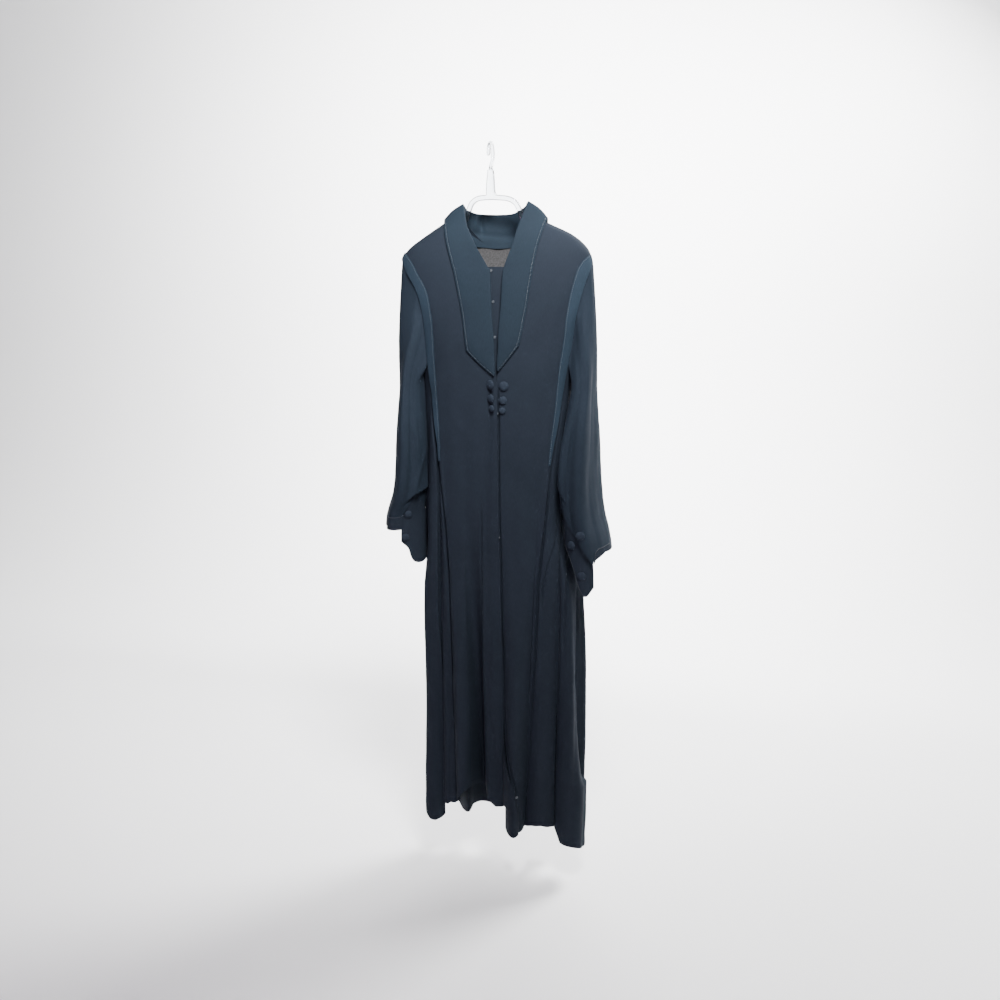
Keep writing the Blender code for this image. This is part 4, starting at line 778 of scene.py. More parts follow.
def drape(p, z):
    """How far the cloth stands off the plain surface."""
    front = np.abs(p) < 0.5
    x = plain(p, z)[0]
    made = np.where(front, crease_height(x, z), 0.0)
    past = x - front_edge(-1, z) - LAP_SHADOW_WIDTH      # the fold behind the centre front's edge
    line = LAP_SHADOW * bump_at(past, LAP_SHADOW_WIDTH * 0.8) * ramp(-z, 0.49, 0.53)
    made = made - np.where(front & (past > -LAP_SHADOW_WIDTH), line, 0.0)
    p0, z0, height, width, reach = SIDE_POUCH
    made = made + height * bump_at(p - p0, width) * bump_at(z - z0, reach)
    return made + (ripple(p, z) + crumple(p, z)) * ramp(-z, 0.2, 0.32)


def body_cloth(p, z):
    """Points and normals of the hanging cloth at places p, z."""
    normal = body_normal(p, z)
    return body_point(p, z) + normal * drape(p, z)[..., None], normal


def body_piece(node, p, z, mat, lift):
    """A piece of cloth on the body, lifted off it."""
    points, normal = body_cloth(p, z)
    outer = points + normal * np.broadcast_to(lift, p.shape)[..., None]
    cloth_wall(node, outer, outer - normal * cloth().thickness, mat)


# ---------------------------------------------------------------- body panels
LEVELS = (TIP_Z, -0.3, -0.345, -0.395, PANEL_TOP_Z, -0.48, -0.53, -0.6, -0.68, -0.76,
          -0.84, -0.92, -1.0, -1.08, -1.16, -1.24, -1.32, -1.4, -1.47)
YOKE_ROWS = 5             # rows of the solids above TIP_Z, and of the fine grids
FINE_YOKE_ROWS = 26
SHOULDER_P = 0.4985
SPREAD_STEPS = 160        # steps that a row's length is measured in
HEM_ROWS = 14
HEM_TURN = 0.015          # height of the hem's stitched turn
SIDE_DIP = 0.62           # how far the side panel's top follows the underarm, and down to where
SIDE_DIP_END = -0.53
SEAM_DRAW = 0.0007        # how far a seam draws its edge in, and over what width
SEAM_DRAW_WIDTH = 0.0016


def fine_levels():
    """Levels for the fine panels, with the first of the solids' and the side panels' top."""
    even = np.linspace(LEVELS[0], LEVELS[-1], folds().rows)
    keep = [z for z in even if min(abs(z - PANEL_TOP_Z), abs(z - LEVELS[0])) > 0.003]
    return sorted(keep + [LEVELS[0], PANEL_TOP_Z], reverse=True)


def princess(side, z):
    """x of the princess seam."""
    return smooth(PRINCESS[side], "x", z)


def front_edge(side, z):
    """x of the front's edge."""
    return smooth(EDGE[side], "x", z)


def back_seam_p(side, z):
    """Place of the back seam."""
    share = smooth(BACK_SEAM, "share", z)
    return side * (1.0 - np.arcsin(share ** (SQUARE / 2)) / math.pi)


def shoulder_z(x):
    """Height of the shoulder's ridge at x."""
    heights = np.linspace(SECTIONS["z"][0], TIP[1], 120)
    key = "left" if x < 0 else "right"
    return float(np.interp(abs(x), np.abs(smooth(SECTIONS, key, heights)), heights))


def spread(p0, p1, z, columns, wrapped=False, close=1.0):
    """Places from p0 to p1 at height z, spaced along the cloth; closer by p0 if close > 1."""
    close_by = np.linspace(p0, p1, SPREAD_STEPS * (2 if wrapped else 1))
    run = run_length(body_point(wrap(close_by) if wrapped else close_by, z), 0)
    share = np.linspace(0.0, 1.0, columns) ** close
    at = np.interp(SEAM_GAP / 2 + (run[-1] - SEAM_GAP) * share, run, close_by)
    return wrap(at) if wrapped else at


def wrap(p):
    """Places past the back centre, counted from the other side."""
    return np.where(p > 1.0, p - 2.0, p)


def neckline_z(x):
    """Height of the back neckline at x."""
    share = np.minimum(np.abs(x) / NECK_X, 1.0)
    return NECK_Z + (NECK_DROP_Z - NECK_Z) * (1 - share ** NECK_CURVE)


def add_hem(p_rows, z_rows, lap=False, steps=1):
    """Carries the last row down to the hem line."""
    last_p, last_z = p_rows[-1], z_rows[-1]
    table = LEFT_LAP if lap else HEM
    low = np.interp(last_p, table["p"], table["z"])
    for share in np.linspace(0.0, 1.0, steps + 1)[1:]:
        p_rows.append(last_p)
        z_rows.append(last_z + (low - last_z) * share)
    return np.array(p_rows), np.array(z_rows)


def front_grid(side, columns, yoke, levels, hem_steps=1):
    """Places of a front panel, rows from the shoulder down, columns from its edge out."""
    top_x = np.linspace(side * (NECK_X + 0.004), princess(side, TIP[side]), columns)
    top_z = np.array([shoulder_z(x) for x in top_x])
    top_z[-1] = TIP[side]

    def row(z):
        return spread(float(p_at(front_edge(side, z), z)), float(p_at(princess(side, z), z)),
                      z, columns)

    low_x = plain(row(TIP_Z), TIP_Z)[0]
    p_rows, z_rows = [], []
    for share in np.linspace(0.0, 1.0, yoke + 1)[:-1]:
        z = top_z + (TIP_Z - top_z) * share
        x = top_x + (low_x - top_x) * share
        edge = front_edge(side, z[:1])[0]
        x = x + (edge - x[0]) * (1 - np.linspace(0, 1, columns)) ** 2 * (share > 0)
        p = np.minimum(np.abs(p_at(x, z)), SHOULDER_P) if share else np.full(columns, SHOULDER_P)
        p_rows.append(side * p)
        z_rows.append(z)
    for z in levels:
        p_rows.append(row(z))
        z_rows.append(np.full(columns, z))
    return add_hem(p_rows, z_rows, lap=side < 0, steps=hem_steps)


def side_grid(side, columns, levels, hem_steps=1, close=1.0):
    """Places of a side panel, from the underarm down and from the front round."""
    p_rows, z_rows = [], []
    dip = (UNDERARM_Z - PANEL_TOP_Z) * np.sin(np.linspace(0, math.pi, columns)) * SIDE_DIP
    for z in levels:
        if z > PANEL_TOP_Z + 1e-9:
            continue
        p_rows.append(spread(float(p_at(princess(side, z), z)), float(back_seam_p(side, z)),
                             z, columns, close=close))
        follow = np.clip((SIDE_DIP_END - z) / (SIDE_DIP_END - PANEL_TOP_Z), 0.0, 1.0)
        z_rows.append(z + dip * follow)
    return add_hem(p_rows, z_rows, steps=hem_steps)


def back_grid(columns, yoke, levels, hem_steps=1):
    """Places of the back panel, rows from the neck down, columns from left to right."""
    share_along = np.linspace(-1, 1, columns)
    tips = [float(plain(back_seam_p(s, TIP[s]), TIP[s])[0]) for s in (-1, 1)]
    top_x = np.where(share_along < 0, -tips[0], tips[1]) * share_along
    top_z = np.where(np.abs(top_x) < NECK_X, neckline_z(top_x), [shoulder_z(x) for x in top_x])
    top_z[0], top_z[-1] = TIP[-1], TIP[1]

    def row(z):
        left, right = float(back_seam_p(-1, z)) + 2.0, float(back_seam_p(1, z))
        return spread(left, right, z, columns, wrapped=True)

    low_x = plain(row(TIP_Z), TIP_Z)[0]
    p_rows, z_rows = [], []
    for share in np.linspace(0.0, 1.0, yoke + 1)[:-1]:
        z = top_z + (TIP_Z - top_z) * share
        x = top_x + (low_x - top_x) * share
        p = np.maximum(np.abs(p_at(x, z, back=True)), 1 - SHOULDER_P)
        if share == 0:
            p = np.where(np.abs(x) < NECK_X, p, 1 - SHOULDER_P)
        p_rows.append(np.where(np.abs(x) < 1e-9, 1.0, np.sign(x) * p))
        z_rows.append(z)
    for z in levels:
        p_rows.append(row(z))
        z_rows.append(np.full(columns, z))
    return add_hem(p_rows, z_rows, steps=hem_steps)


def sewn_edges(points, sides=(True, True)):
    """Relief of the sewing: the seams draw the edges in, the hem's turn stands a little proud."""
    across = run_length(points, 1)
    total = np.zeros(points.shape[:2])
    for sewn, away in zip(sides, (across, across[:, -1:] - across)):
        if sewn:
            total -= SEAM_DRAW * bump_at(away, SEAM_DRAW_WIDTH)
    down = run_length(points, 0)
    up = down[-1:] - down
    total += 0.0004 * (1 - ramp(up, HEM_TURN, HEM_TURN + 0.002))
    total -= 0.0005 * bump_at(up - HEM_TURN, 0.0012)
    return total


def lap_lift(p, z):
    """Extra height of the left front where it laps over the right."""
    x = plain(p, z)[0]
    under = front_edge(1, z)
    gap = LAP_GAP + LAP_GAP_HEM * ramp(-z, *LAP_GAP_Z)
    return (CLOTH + gap) * ramp(x, *(under - reach for reach in LAP_BAND)) * ramp(-z, *LAP_Z)


def body_panel(kind, side, mat, sides=(True, True), lift=0.0):
    """One panel of the body, sewn at its sides and turned up at its hem."""
    p, z = fine(kind, side)
    lift = lift + sewn_edges(body_point(p, z), sides)
    body_piece(kind + WORDS[side], p, z, mat, lift)


# ---------------------------------------------------------------- armhole bands
BAND_END_Z = -0.68
BAND_INSET = 0.001
BAND_TOP = 0.25           # how far down the yoke the bands start
BAND_WIDTH = {"z": (-0.235, -0.262, -0.34, -0.45, -0.6, -0.68),
              "width": (0.016, 0.03, 0.024, 0.022, 0.012, 0.005)}
BAND_COLUMNS = 16
BAND_STITCH = 0.0022      # from an edge to its row of stitches, on the bands and on the lapels
TOPSTITCH = 0.0045
THREAD_RISE = 0.0002


def band_grid(side, grid):
    """Outer face and normals of the contrast band on the front's outer edge."""
    p, z = grid
    points, normals = body_cloth(p, z)
    yoke = int(np.argmax(z[:, 0] <= TIP_Z + 1e-9))
    last = int(np.argmax(z[:, -1] < BAND_END_Z))
    first = max(1, round(yoke * BAND_TOP / YOKE_ROWS))
    rows, row_normals = [], []
    for i in range(first, last):
        edge, up = points[i][::-1], normals[i][::-1]
        run = run_length(edge, 0)
        width = float(np.interp(-z[i, -1], -np.array(BAND_WIDTH["z"]), BAND_WIDTH["width"]))
        at = np.linspace(BAND_INSET, width, BAND_COLUMNS)
        rows.append(points_at(at, run, edge))
        row_normals.append(points_at(at, run, up))
    return np.array(rows), np.array(row_normals)


def rolled_edges(grid, edges, inset=TOPSTITCH, depth=0.00045):
    """Relief of a turned and topstitched edge: full at the edge, drawn in along the stitches."""
    across, down = run_length(grid, 1), run_length(grid, 0)
    from_edge = {"first": across, "last": across[:, -1:] - across,
                 "top": down, "foot": down[-1:] - down}
    total = np.zeros(grid.shape[:2])
    for edge in edges:
        away = from_edge[edge]
        total -= depth * bump_at(away - inset, 0.0011)
        total += 0.5 * depth * (1 - ramp(away, inset, inset + 0.003))
        total -= 0.9 * depth * bump_at(away, 0.0008)
    return total


def puckers(grid):
    """Small slanting gathers that the topstitching pulls into a leaf's outer edge."""
    along = run_length(grid, 0)[:, -1:]
    away = run_length(grid, 1)[:, -1:] - run_length(grid, 1)
    wave = np.sin(2 * math.pi * (along - 0.6 * away) / PUCKER_LENGTH + 0.8 * np.sin(along * 61))
    strength = 0.75 + 0.25 * np.sin(along * 37 + 1.0)
    return PUCKER_DEPTH * wave * strength * bump_at(away - PUCKER_INSET, PUCKER_INSET)


# ---------------------------------------------------------------- lapels and collar
PUCKER_LENGTH = 0.0085    # from one gather to the next
PUCKER_DEPTH = 0.0005
PUCKER_INSET = 0.0035
ROLL_RADIUS = 0.0017
ROLL_TURNS = (150.0, 120.0, 90.0, 60.0, 30.0)  # degrees round the roll
LAPEL_GAP = 0.0016        # between lapel and front, and at the shoulders
LAPEL_GAP_TOP = 0.0028
LAPEL_CROWN = 0.0016      # how far the middle of a lapel stands up
COLLAR_BULGE = (0.004, 0.002)  # how far the collar's leaf stands out and up halfway
NECK_CENTRE_Y = -0.01     # the collar's rows turn about this line
LEAF_ACROSS = 1.0 - (1.0 - np.linspace(0.0, 1.0, 42)) ** 1.4  # closer rows near the edge
LAPEL_ROWS = 230
NECK_STEPS = 22           # rows from one row of the collar's table to the next
STAND_FOOT = -0.2115      # lower edge of the stand where it shows
STAND_IN = 0.0034         # how far its top lies in from the roll line
STAND_GRID = (110, 28)    # points along and down
PATCH_SET = 0.001         # more than the usual gap, from the back to the marled piece
PATCH_HALF = 0.06         # half width of that piece, its top and its foot
PATCH_TOP = -0.2095
PATCH_FOOT = -0.262
PATCH_GRID = (61, 30)
PLACKET_END = -1.44       # kept above the left front's hem


def lapel_rows(side, count):
    """Rows of a lapel from its point up to the shoulder, lying on the front."""
    table = through(LAPEL_LEFT if side < 0 else LAPEL_RIGHT, count)
    roll, edge = table[:, :2, None], table[:, 2:, None]
    x, z = np.swapaxes(roll + (edge - roll) * LEAF_ACROSS, 0, 1)
    out = CLOTH + LAPEL_GAP + (LAPEL_GAP_TOP - LAPEL_GAP) * ramp(table[:, 3], -0.25, -0.2)
    p = p_at(x, z)
    points, normal = body_cloth(p, z)
    crown = LAPEL_CROWN * np.sin(math.pi * LEAF_ACROSS) ** 0.8 * ramp(-z, 0.22, 0.3)
    return points + normal * (out[:, None] + crown)[..., None]


def neck_inward(roll):
    """The level direction from a place on the roll line in towards the neck."""
    return unit(-np.array([roll[0], roll[1] - NECK_CENTRE_Y, 0.0]))


def collar_rows():
    """Rows of the collar's leaf round the neck, left shoulder to right."""
    rows = []
    across = LEAF_ACROSS[:, None]
    out, up = COLLAR_BULGE
    for index, roll in enumerate(COLLAR_ROLL):
        roll = np.array(roll)
        x, z = COLLAR_EDGE_X[index], COLLAR_EDGE_Z[index]
        if index in (0, len(COLLAR_ROLL) - 1):
            edge = np.array([x, 0.0, z + 0.0045])
        else:
            p = p_at(np.array(x if x else 1e-6), np.array(z), back=True)
            edge = body_point(p, z) + body_normal(p, z) * (CLOTH + LAY_GAP + 0.0015)
            edge = edge - np.array([GARMENT_X, 0, 0])
        bulge = -neck_inward(roll) * out + np.array([0, 0, up])
        row = roll + (edge - roll) * across + bulge * np.sin(math.pi * across)
        rows.append(row + np.array([GARMENT_X, 0, 0]))
    return np.array(rows)


def surface_normals(grid, towards):
    """Normals of a grid of points, on the side that looks towards a direction."""
    normal = unit(np.cross(np.gradient(grid, axis=0), np.gradient(grid, axis=1)))
    return normal * (1.0 if np.sum(normal[len(grid) // 8, 5] * np.array(towards)) > 0 else -1.0)


def leaf_run():
    """The whole leaf, left lapel's point to the right one's, and its outward normals."""
    left, right, neck = lapel_rows(-1, LAPEL_ROWS), lapel_rows(1, LAPEL_ROWS)[::-1], collar_rows()
    ends = slice(-31, None, 10), slice(0, 31, 10)
    knots = np.concatenate((left[ends[0]], neck, right[ends[1]]))
    middle = through(knots, (len(knots) - 1) * NECK_STEPS + 1)
    cut = NECK_STEPS * (len(left[ends[0]]) - 1)
    middle = middle[cut + 1:-cut - 1]
    run = np.concatenate((left, middle, right))
    return run, surface_normals(run, (0.0, -1.0, 0.0)), (len(left), len(left) + len(middle))


def with_roll(grid, normal):
    """Adds the rounded turn at the roll line: the cloth goes round and down behind."""
    across = unit(grid[:, 1] - grid[:, 0])
    up = unit(normal[:, 0] - across * np.sum(normal[:, 0] * across, axis=1, keepdims=True))
    centre = grid[:, 0] - up * ROLL_RADIUS
    turns = np.stack([up * math.cos(a) - across * math.sin(a) for a in np.radians(ROLL_TURNS)], 1)
    return (np.concatenate((centre[:, None] + turns * ROLL_RADIUS, grid), axis=1),
            np.concatenate((turns, normal), axis=1))


# ---------------------------------------------------------------- sleeves
ARMHOLE_GAP = 0.001
SEAM_ALLOWANCE = (0.0045, 0.003)  # of the cap under the panels: inwards, and to the middle
CAP_FULLNESS = 0.006
CUFF_PROUD = 0.0006       # how far the cuff stands out from the sleeve's surface
CUFF_UNDER = 0.0009       # more than a cloth's thickness, from the sleeve to the cuff's tuck
CUFF_LINING = 0.0005      # added to the thickness of the cloth
CUFF_TUCK = 0.0045        # height of the cuff's top above the sleeve's end, inside it
CUFF_DIVES = (-0.0016, 0.0004)  # heights from that end between which the cuff goes in
CUFF_STITCH = 0.004       # from the sleeve's end, and from the strip's edges, to the stitches
STRIP_STITCH = 0.003
STRIP_TURN = {-1: (130.0, 180.0, 0.0072), 1: (90.0, 34.0, 0.0075)}  # degrees, how far out
SLEEVE_FOOT = {-1: -0.815, 1: -0.845}
SECTION_STEPS = (0.02, 0.004)  # radians and height that a section's normals are taken over
SLEEVE_COLUMNS = 168
CAP_ROWS = 40
CAP_SMOOTHING = 60
TUBE_ROWS = 124
DEGREE_LENGTH = math.radians(1.0) * 0.05  # length of one degree round a sleeve
# Folds of the sleeves: angle and height at start and end, height of the fold, half width.
SLEEVE_FOLDS = {
    -1: ((100.0, -0.56, 126.0, -0.7, 0.003, 0.009),
         (150.0, -0.64, 112.0, -0.748, 0.003, 0.008),
         (84.0, -0.52, 78.0, -0.78, 0.0016, 0.005), (40.0, -0.6, 52.0, -0.79, 0.0014, 0.01),
         (20.0, -0.42, 60.0, -0.64, 0.0012, 0.012), (200.0, -0.56, 250.0, -0.7, 0.0018, 0.014),
         (310.0, -0.5, 290.0, -0.76, 0.0016, 0.013)),
    1: ((112.0, -0.56, 108.0, -0.75, 0.0024, 0.008), (74.0, -0.52, 84.0, -0.77, 0.0016, 0.006),
        (10.0, -0.56, 22.0, -0.8, 0.0014, 0.01), (150.0, -0.64, 128.0, -0.76, 0.0022, 0.007),
        (30.0, -0.42, 44.0, -0.62, 0.0012, 0.011), (210.0, -0.56, 250.0, -0.72, 0.0018, 0.014),
        (320.0, -0.5, 300.0, -0.78, 0.0016, 0.013)),
}
PRESS_LINE = {-1: 0.0062, 1: 0.0066}  # height of the pressed edge down the front
PRESS_SPAN = 28.0         # degrees from the edge to where its flat sides end
PRESS_FALL = 1.2
SLEEVE_WAVE = 0.0009      # height of the slow unevenness and of the small one
SLEEVE_CRUMPLE = 0.00022
# Pouches and hollows: angle, height, how far out, half width, half height above and below.
POUCHES = {
    -1: ((185.0, -0.53, 0.0075, 0.03, 0.07, 0.07),
         (184.0, -0.735, 0.005, 0.026, 0.04, 0.05),
         (150.0, -0.64, 0.006, 0.03, 0.06, 0.05),
         (40.0, -0.66, 0.003, 0.018, 0.14, 0.1)),
    1: ((165.0, -0.38, -0.006, 0.03, 0.1, 0.1),
        (118.0, -0.69, 0.005, 0.02, 0.09, 0.04),
        (30.0, -0.64, 0.003, 0.018, 0.16, 0.1)),
}
# The drooping folds above the slits: the line of each fold's foot, angles against height.
DROOP = {
    -1: ((70.0, 94.0, 116.0, 150.0, 182.0, 215.0), (-0.776, -0.768, -0.752, -0.746, -0.734, -0.7)),
    1: ((70.0, 96.0, 112.0, 128.0, 150.0, 200.0), (-0.77, -0.744, -0.73, -0.722, -0.714, -0.7)),
}
DROOP_ENDS = {-1: (84.0, 116.0, 190.0, 225.0), 1: (84.0, 112.0, 140.0, 180.0)}  # degrees
DROOP_HEIGHT = {-1: 0.008, 1: 0.0035}
DROOP_FADE = (0.034, 0.0035)  # heights over which a fold dies out above its foot and below


def sleeve_section(side, angle, z):
    """Closed section of the sleeve; angle 0 faces outwards, pi / 2 the front."""
    table = SLEEVES[side]
    across, along = smooth(table, "across", z), smooth(table, "along", z)
    crease = smooth(table, "crease", z)
    turn = math.radians(1.0) * smooth(table, "turn", z)
    at = angle - math.radians(1.0) * smooth(table, "crease_at", z)
    at = (at + math.pi) % (2 * math.pi) - math.pi
    grow = crease * bump_at(at, CREASE_WIDTH)
    x = side * np.cos(angle) * (across + grow)
    y = -np.sin(angle) * (along + grow)
    turned_x = x * np.cos(turn) - y * np.sin(turn)
    turned_y = x * np.sin(turn) + y * np.cos(turn)
    return np.stack([smooth(table, "x", z) + turned_x + GARMENT_X, smooth(table, "y", z) + turned_y,
                     np.broadcast_to(z, np.shape(angle))], axis=-1)


def section_normal(side, angle, z):
    """Outward normal of that section."""
    turn, drop = SECTION_STEPS
    around = sleeve_section(side, angle + turn, z) - sleeve_section(side, angle - turn, z)
    down = sleeve_section(side, angle, z - drop) - sleeve_section(side, angle, z + drop)
    normal = unit(np.cross(down, around))
    away = sleeve_section(side, angle, z) - sleeve_section(side, angle + math.pi, z)
    return normal * np.sign(np.sum(normal * away, axis=-1, keepdims=True))


def end_z(table, side, degrees):
    """Height of a sleeve's end at places round it."""
    degrees = np.asarray(degrees, float) % 360.0
    degrees = np.where(degrees < table[side]["angle"][0], degrees + 360.0, degrees)
    return np.interp(degrees, table[side]["angle"], table[side]["z"])


def sleeve_relief(side, degrees, z):
    """Folds, pressed line and unevenness of a sleeve."""
    total = np.zeros(np.broadcast(degrees, z).shape)
    for a0, z0, a1, z1, height, width in SLEEVE_FOLDS[side]:
        total += ridge(centred(degrees - a0) * DEGREE_LENGTH, z - z0,
                       centred(a1 - a0) * DEGREE_LENGTH, z1 - z0, height, width)
    from_edge = np.abs(centred(degrees - smooth(SLEEVES[side], "crease_at", z)))
    pressed = np.clip(1 - from_edge / PRESS_SPAN, 0, 1) ** PRESS_FALL
    total += PRESS_LINE[side] * pressed * ramp(-z, 0.28, 0.36)
    for a0, z0, height, width, above, below in POUCHES[side]:
        u = centred(degrees - a0) * DEGREE_LENGTH
        v = (z - z0) / np.where(z > z0, above, below)
        total += height * np.exp(-(u / width) ** 2 - v ** 2)
    up = z - np.interp(degrees, *DROOP[side])
    start, full, ease, end = DROOP_ENDS[side]
    share = ramp(degrees, start, full) * (1 - ramp(degrees, ease, end))
    above, below = DROOP_FADE
    lip = np.where(up > 0, np.exp(-up / above), np.exp(up / below))
    total += DROOP_HEIGHT[side] * share * (lip - 0.5 * bump_at(up + 0.008, 0.005))
    a = np.radians(degrees)
    wave = (np.sin(3 * a + 9 * z + side) + 0.7 * np.sin(5 * a - 13 * z + 2)
            + 0.5 * np.sin(9 * a + 21 * z + 4))
    total += SLEEVE_WAVE * wave * ramp(-z, 0.36, 0.56)
    small = np.sin(13 * a + 55 * z) * np.sin(8 * a - 83 * z + 1)
    total += SLEEVE_CRUMPLE * small * ramp(-z, 0.3, 0.5)
    return total * folds().crease


def armhole(side, front, under_panel, back):
    """The armhole's loop through the panels' edge points: tip, front, underarm, back."""
    top = YOKE_ROWS + LEVELS.index(PANEL_TOP_Z)
    rows = [0, 2] + list(range(YOKE_ROWS, top + 1))
    outside = 0 if side < 0 else -1
    front_points = [body_point(front[0][i, -1], front[1][i, -1]) for i in rows]
    under = [body_point(under_panel[0][0, j], under_panel[1][0, j])
             for j in range(2, under_panel[0].shape[1] - 1, 2)]
    back_points = [body_point(back[0][i, outside], back[1][i, outside]) for i in rows[:0:-1]]
    half = len(under) // 2
    return front_points + under[:half + 1], under[half:] + back_points


def fill_out(points, count):
    """Splits the longest gaps until there are count points."""
    points = [np.array(p) for p in points]
    while len(points) < count:
        lengths = [np.linalg.norm(b - a) for a, b in zip(points, points[1:])]
        k = int(np.argmax(lengths))
        points.insert(k + 1, (points[k] + points[k + 1]) / 2)
    return points


def sleeve_grid(side, panels):
    """Fine rows of the sleeve from the armhole down, and its columns' degrees."""
    coarse = np.array(SLEEVE_ANGLES[side], float)
    front_half, back_half = armhole(side, *panels)
    tip = front_half[0]
    front_count = int(np.sum(coarse <= 180.0)) + 1
    front_half = fill_out(front_half, front_count)
    back_half = fill_out(back_half + [tip], len(coarse) - front_count + 2)
    hole = np.array(front_half + back_half[1:-1])
    degrees = np.linspace(0.0, 360.0, SLEEVE_COLUMNS, endpoint=False)
    corners = np.array([d for d in SLEEVE_END[side]["angle"] if 100.0 < d < 200.0 or side > 0])
    for corner in corners % 360.0:      # a column through each corner of the slit
        degrees[int(np.argmin(np.abs(degrees - corner)))] = corner
    at = np.interp(degrees, np.append(coarse, 360.0), np.arange(len(coarse) + 1))
    hole = ring_through(hole, at)
    angle = np.radians(degrees)
    out = np.array([side * 1.0, 0.0, 0.0])
    inward = hole.mean(axis=0) - hole
    inward[:, 0] = 0.0
    inward = unit(inward)
    hole = hole + out * ARMHOLE_GAP
    table = SLEEVES[side]
    first = sleeve_section(side, angle, table["z"][0])
    rows = [hole - out * SEAM_ALLOWANCE[0] + inward * SEAM_ALLOWANCE[1]]
    for w in np.linspace(0.0, 1.0, CAP_ROWS + 1):
        ease = w * w * (3 - 2 * w)
        row = hole + (first - hole) * ease
        row[:, 2] = hole[:, 2] + (first[:, 2] - hole[:, 2]) * w
        cap = CAP_FULLNESS * math.sin(math.pi * w) ** 0.7 * np.clip(np.cos(angle), 0, 1)
        rows.append(row + out * cap[:, None])
    low = end_z(SLEEVE_END, side, degrees)
    for share in np.linspace(0.0, 1.0, TUBE_ROWS + 1)[1:]:
        level = table["z"][0] + (SLEEVE_FOOT[side] - table["z"][0]) * share
        rows.append(sleeve_section(side, angle, np.maximum(level, low + (1 - share) * 0.014)))
    rows[-1] = sleeve_section(side, angle, low)
    rows = np.array(rows)
    first, last = CAP_ROWS - 12, CAP_ROWS + 20      # the cap runs smoothly into the tube
    for _ in range(CAP_SMOOTHING):
        rows[first:last] += ((rows[first - 1:last - 1] + rows[first + 1:last + 1]) / 2
                             - rows[first:last]) / 2
    around = np.roll(rows, -1, axis=1) - np.roll(rows, 1, axis=1)
    normal = unit(np.cross(np.gradient(rows, axis=0), around))
    middle = rows.mean(axis=1, keepdims=True)
    normal *= np.sign(np.sum(normal * (rows - middle), axis=-1).mean())
    relief = sleeve_relief(side, degrees[None, :], rows[..., 2])
    relief *= ramp(np.arange(len(rows)), 2, 16)[:, None]
    return rows, normal, relief, degrees


def band_points(side, degrees, z, out):
    """Points of a sleeve-end piece on the sleeve's surface, moved out along the normal."""
    angle = np.broadcast_to(np.radians(degrees), z.shape)
    points, normal = sleeve_section(side, angle, z), section_normal(side, angle, z)
    return points + normal * np.asarray(out)[..., None], normal


# ---------------------------------------------------------------- sewing
STITCH_LENGTH = 0.003
STITCH_RADIUS = 0.00034
STITCH_SIZES = (0.35, 0.9, 1.0, 0.9, 0.35)  # of the thread's rings, and how high they lie
STITCH_RISES = (-0.6, 0.3, 0.6, 0.3, -0.6)
STITCH_SIDES = 6


def stitch_row(name, path, up, mat):
    """A row of topstitching along a path: short rounded threads with a gap between them."""
    pitch = cloth().stitch
    run = run_length(path, 0)
    turns = [2 * math.pi * turn / STITCH_SIDES for turn in range(STITCH_SIDES)]
    vertices, faces = [], []
    for start in np.arange(pitch / 2, run[-1] - STITCH_LENGTH, pitch):
        along = np.linspace(start, start + STITCH_LENGTH, len(STITCH_SIZES))
        centre = points_at(along, run, path)
        lift = points_at(start, run, up)
        side = unit(np.cross(unit(centre[-1] - centre[0]), lift))
        base = len(vertices)
        for place, size, rise in zip(centre, STITCH_SIZES, STITCH_RISES):
            for a in turns:
                vertices.append(place + STITCH_RADIUS * (lift * (rise + size * math.sin(a))
                                                         + side * size * math.cos(a)))
        faces += grid_faces(len(STITCH_SIZES), STITCH_SIDES, base, True)
        faces.append(tuple(range(base, base + STITCH_SIDES)))
        faces.append(tuple(range(len(vertices) - 1, len(vertices) - STITCH_SIDES - 1, -1)))
    add_piece(name + "_stitching", vertices, faces, mat, sharp=80.0)


def inset_line(grid, edge, inset):
    """Points a set distance in from one edge of a grid of points."""
    grid = np.swapaxes(grid, 0, 1) if edge in ("top", "foot") else grid
    rows = grid[:, ::-1] if edge in ("last", "foot") else grid
    return np.array([points_at(inset, run_length(row, 0), row) for row in rows])


def stitch_edge(name, grid, normal, edge, inset, mat):
    """Topstitching along one edge of a piece."""
    stitch_row(name, inset_line(grid, edge, inset), inset_line(normal, edge, 0.0), mat)


# ---------------------------------------------------------------- buttons and snaps
BUTTON_LEAN = math.radians(34.0)  # the left buttons lean away from the edge
BUTTON_SINK = 0.0022      # of a button into its solid
BUTTON_SHIFT = 0.62       # how far a leaning button is lifted clear, as a share of its tilt
SHANK = ((0.0052, -0.0006), (0.0042, 0.0012), (0.0036, 0.004), (0.003, 0.0058))
SHANK_STEPS = 24
STRIP_SWING = {"right_3": 0.0026}     # how far the strip swings out under a button
GATHERS = (0.00018, 26, 1.4, 3)  # depth, how many, and how unevenly they lie
# On the under-placket between the lapels: x, z, diameter. Along the lap: z, diameter.
SNAPS = ((0.001, -0.256, 0.0064), (0.0075, -0.321, 0.006), (0.0125, -0.396, 0.006))
LAP_SNAPS = ((-0.56, 0.0046), (-0.845, 0.0046), (-1.486, 0.007))
LAP_SNAP_SET = (0.0008, 0.0012, 0.0016)  # in from the edge, out again, and down
SNAP_RISE = 0.0001
SNAP_STEPS = 28
# A snap's profile: share of its radius, and height.
SNAP_PROFILE = ((0.9, 0.0), (1.0, 0.0003), (1.0, 0.0007), (0.92, 0.001), (0.62, 0.0009),
                (0.55, 0.0006), (0.42, 0.0007), (0.36, 0.0013), (0.2, 0.0016), (0.04, 0.0017))


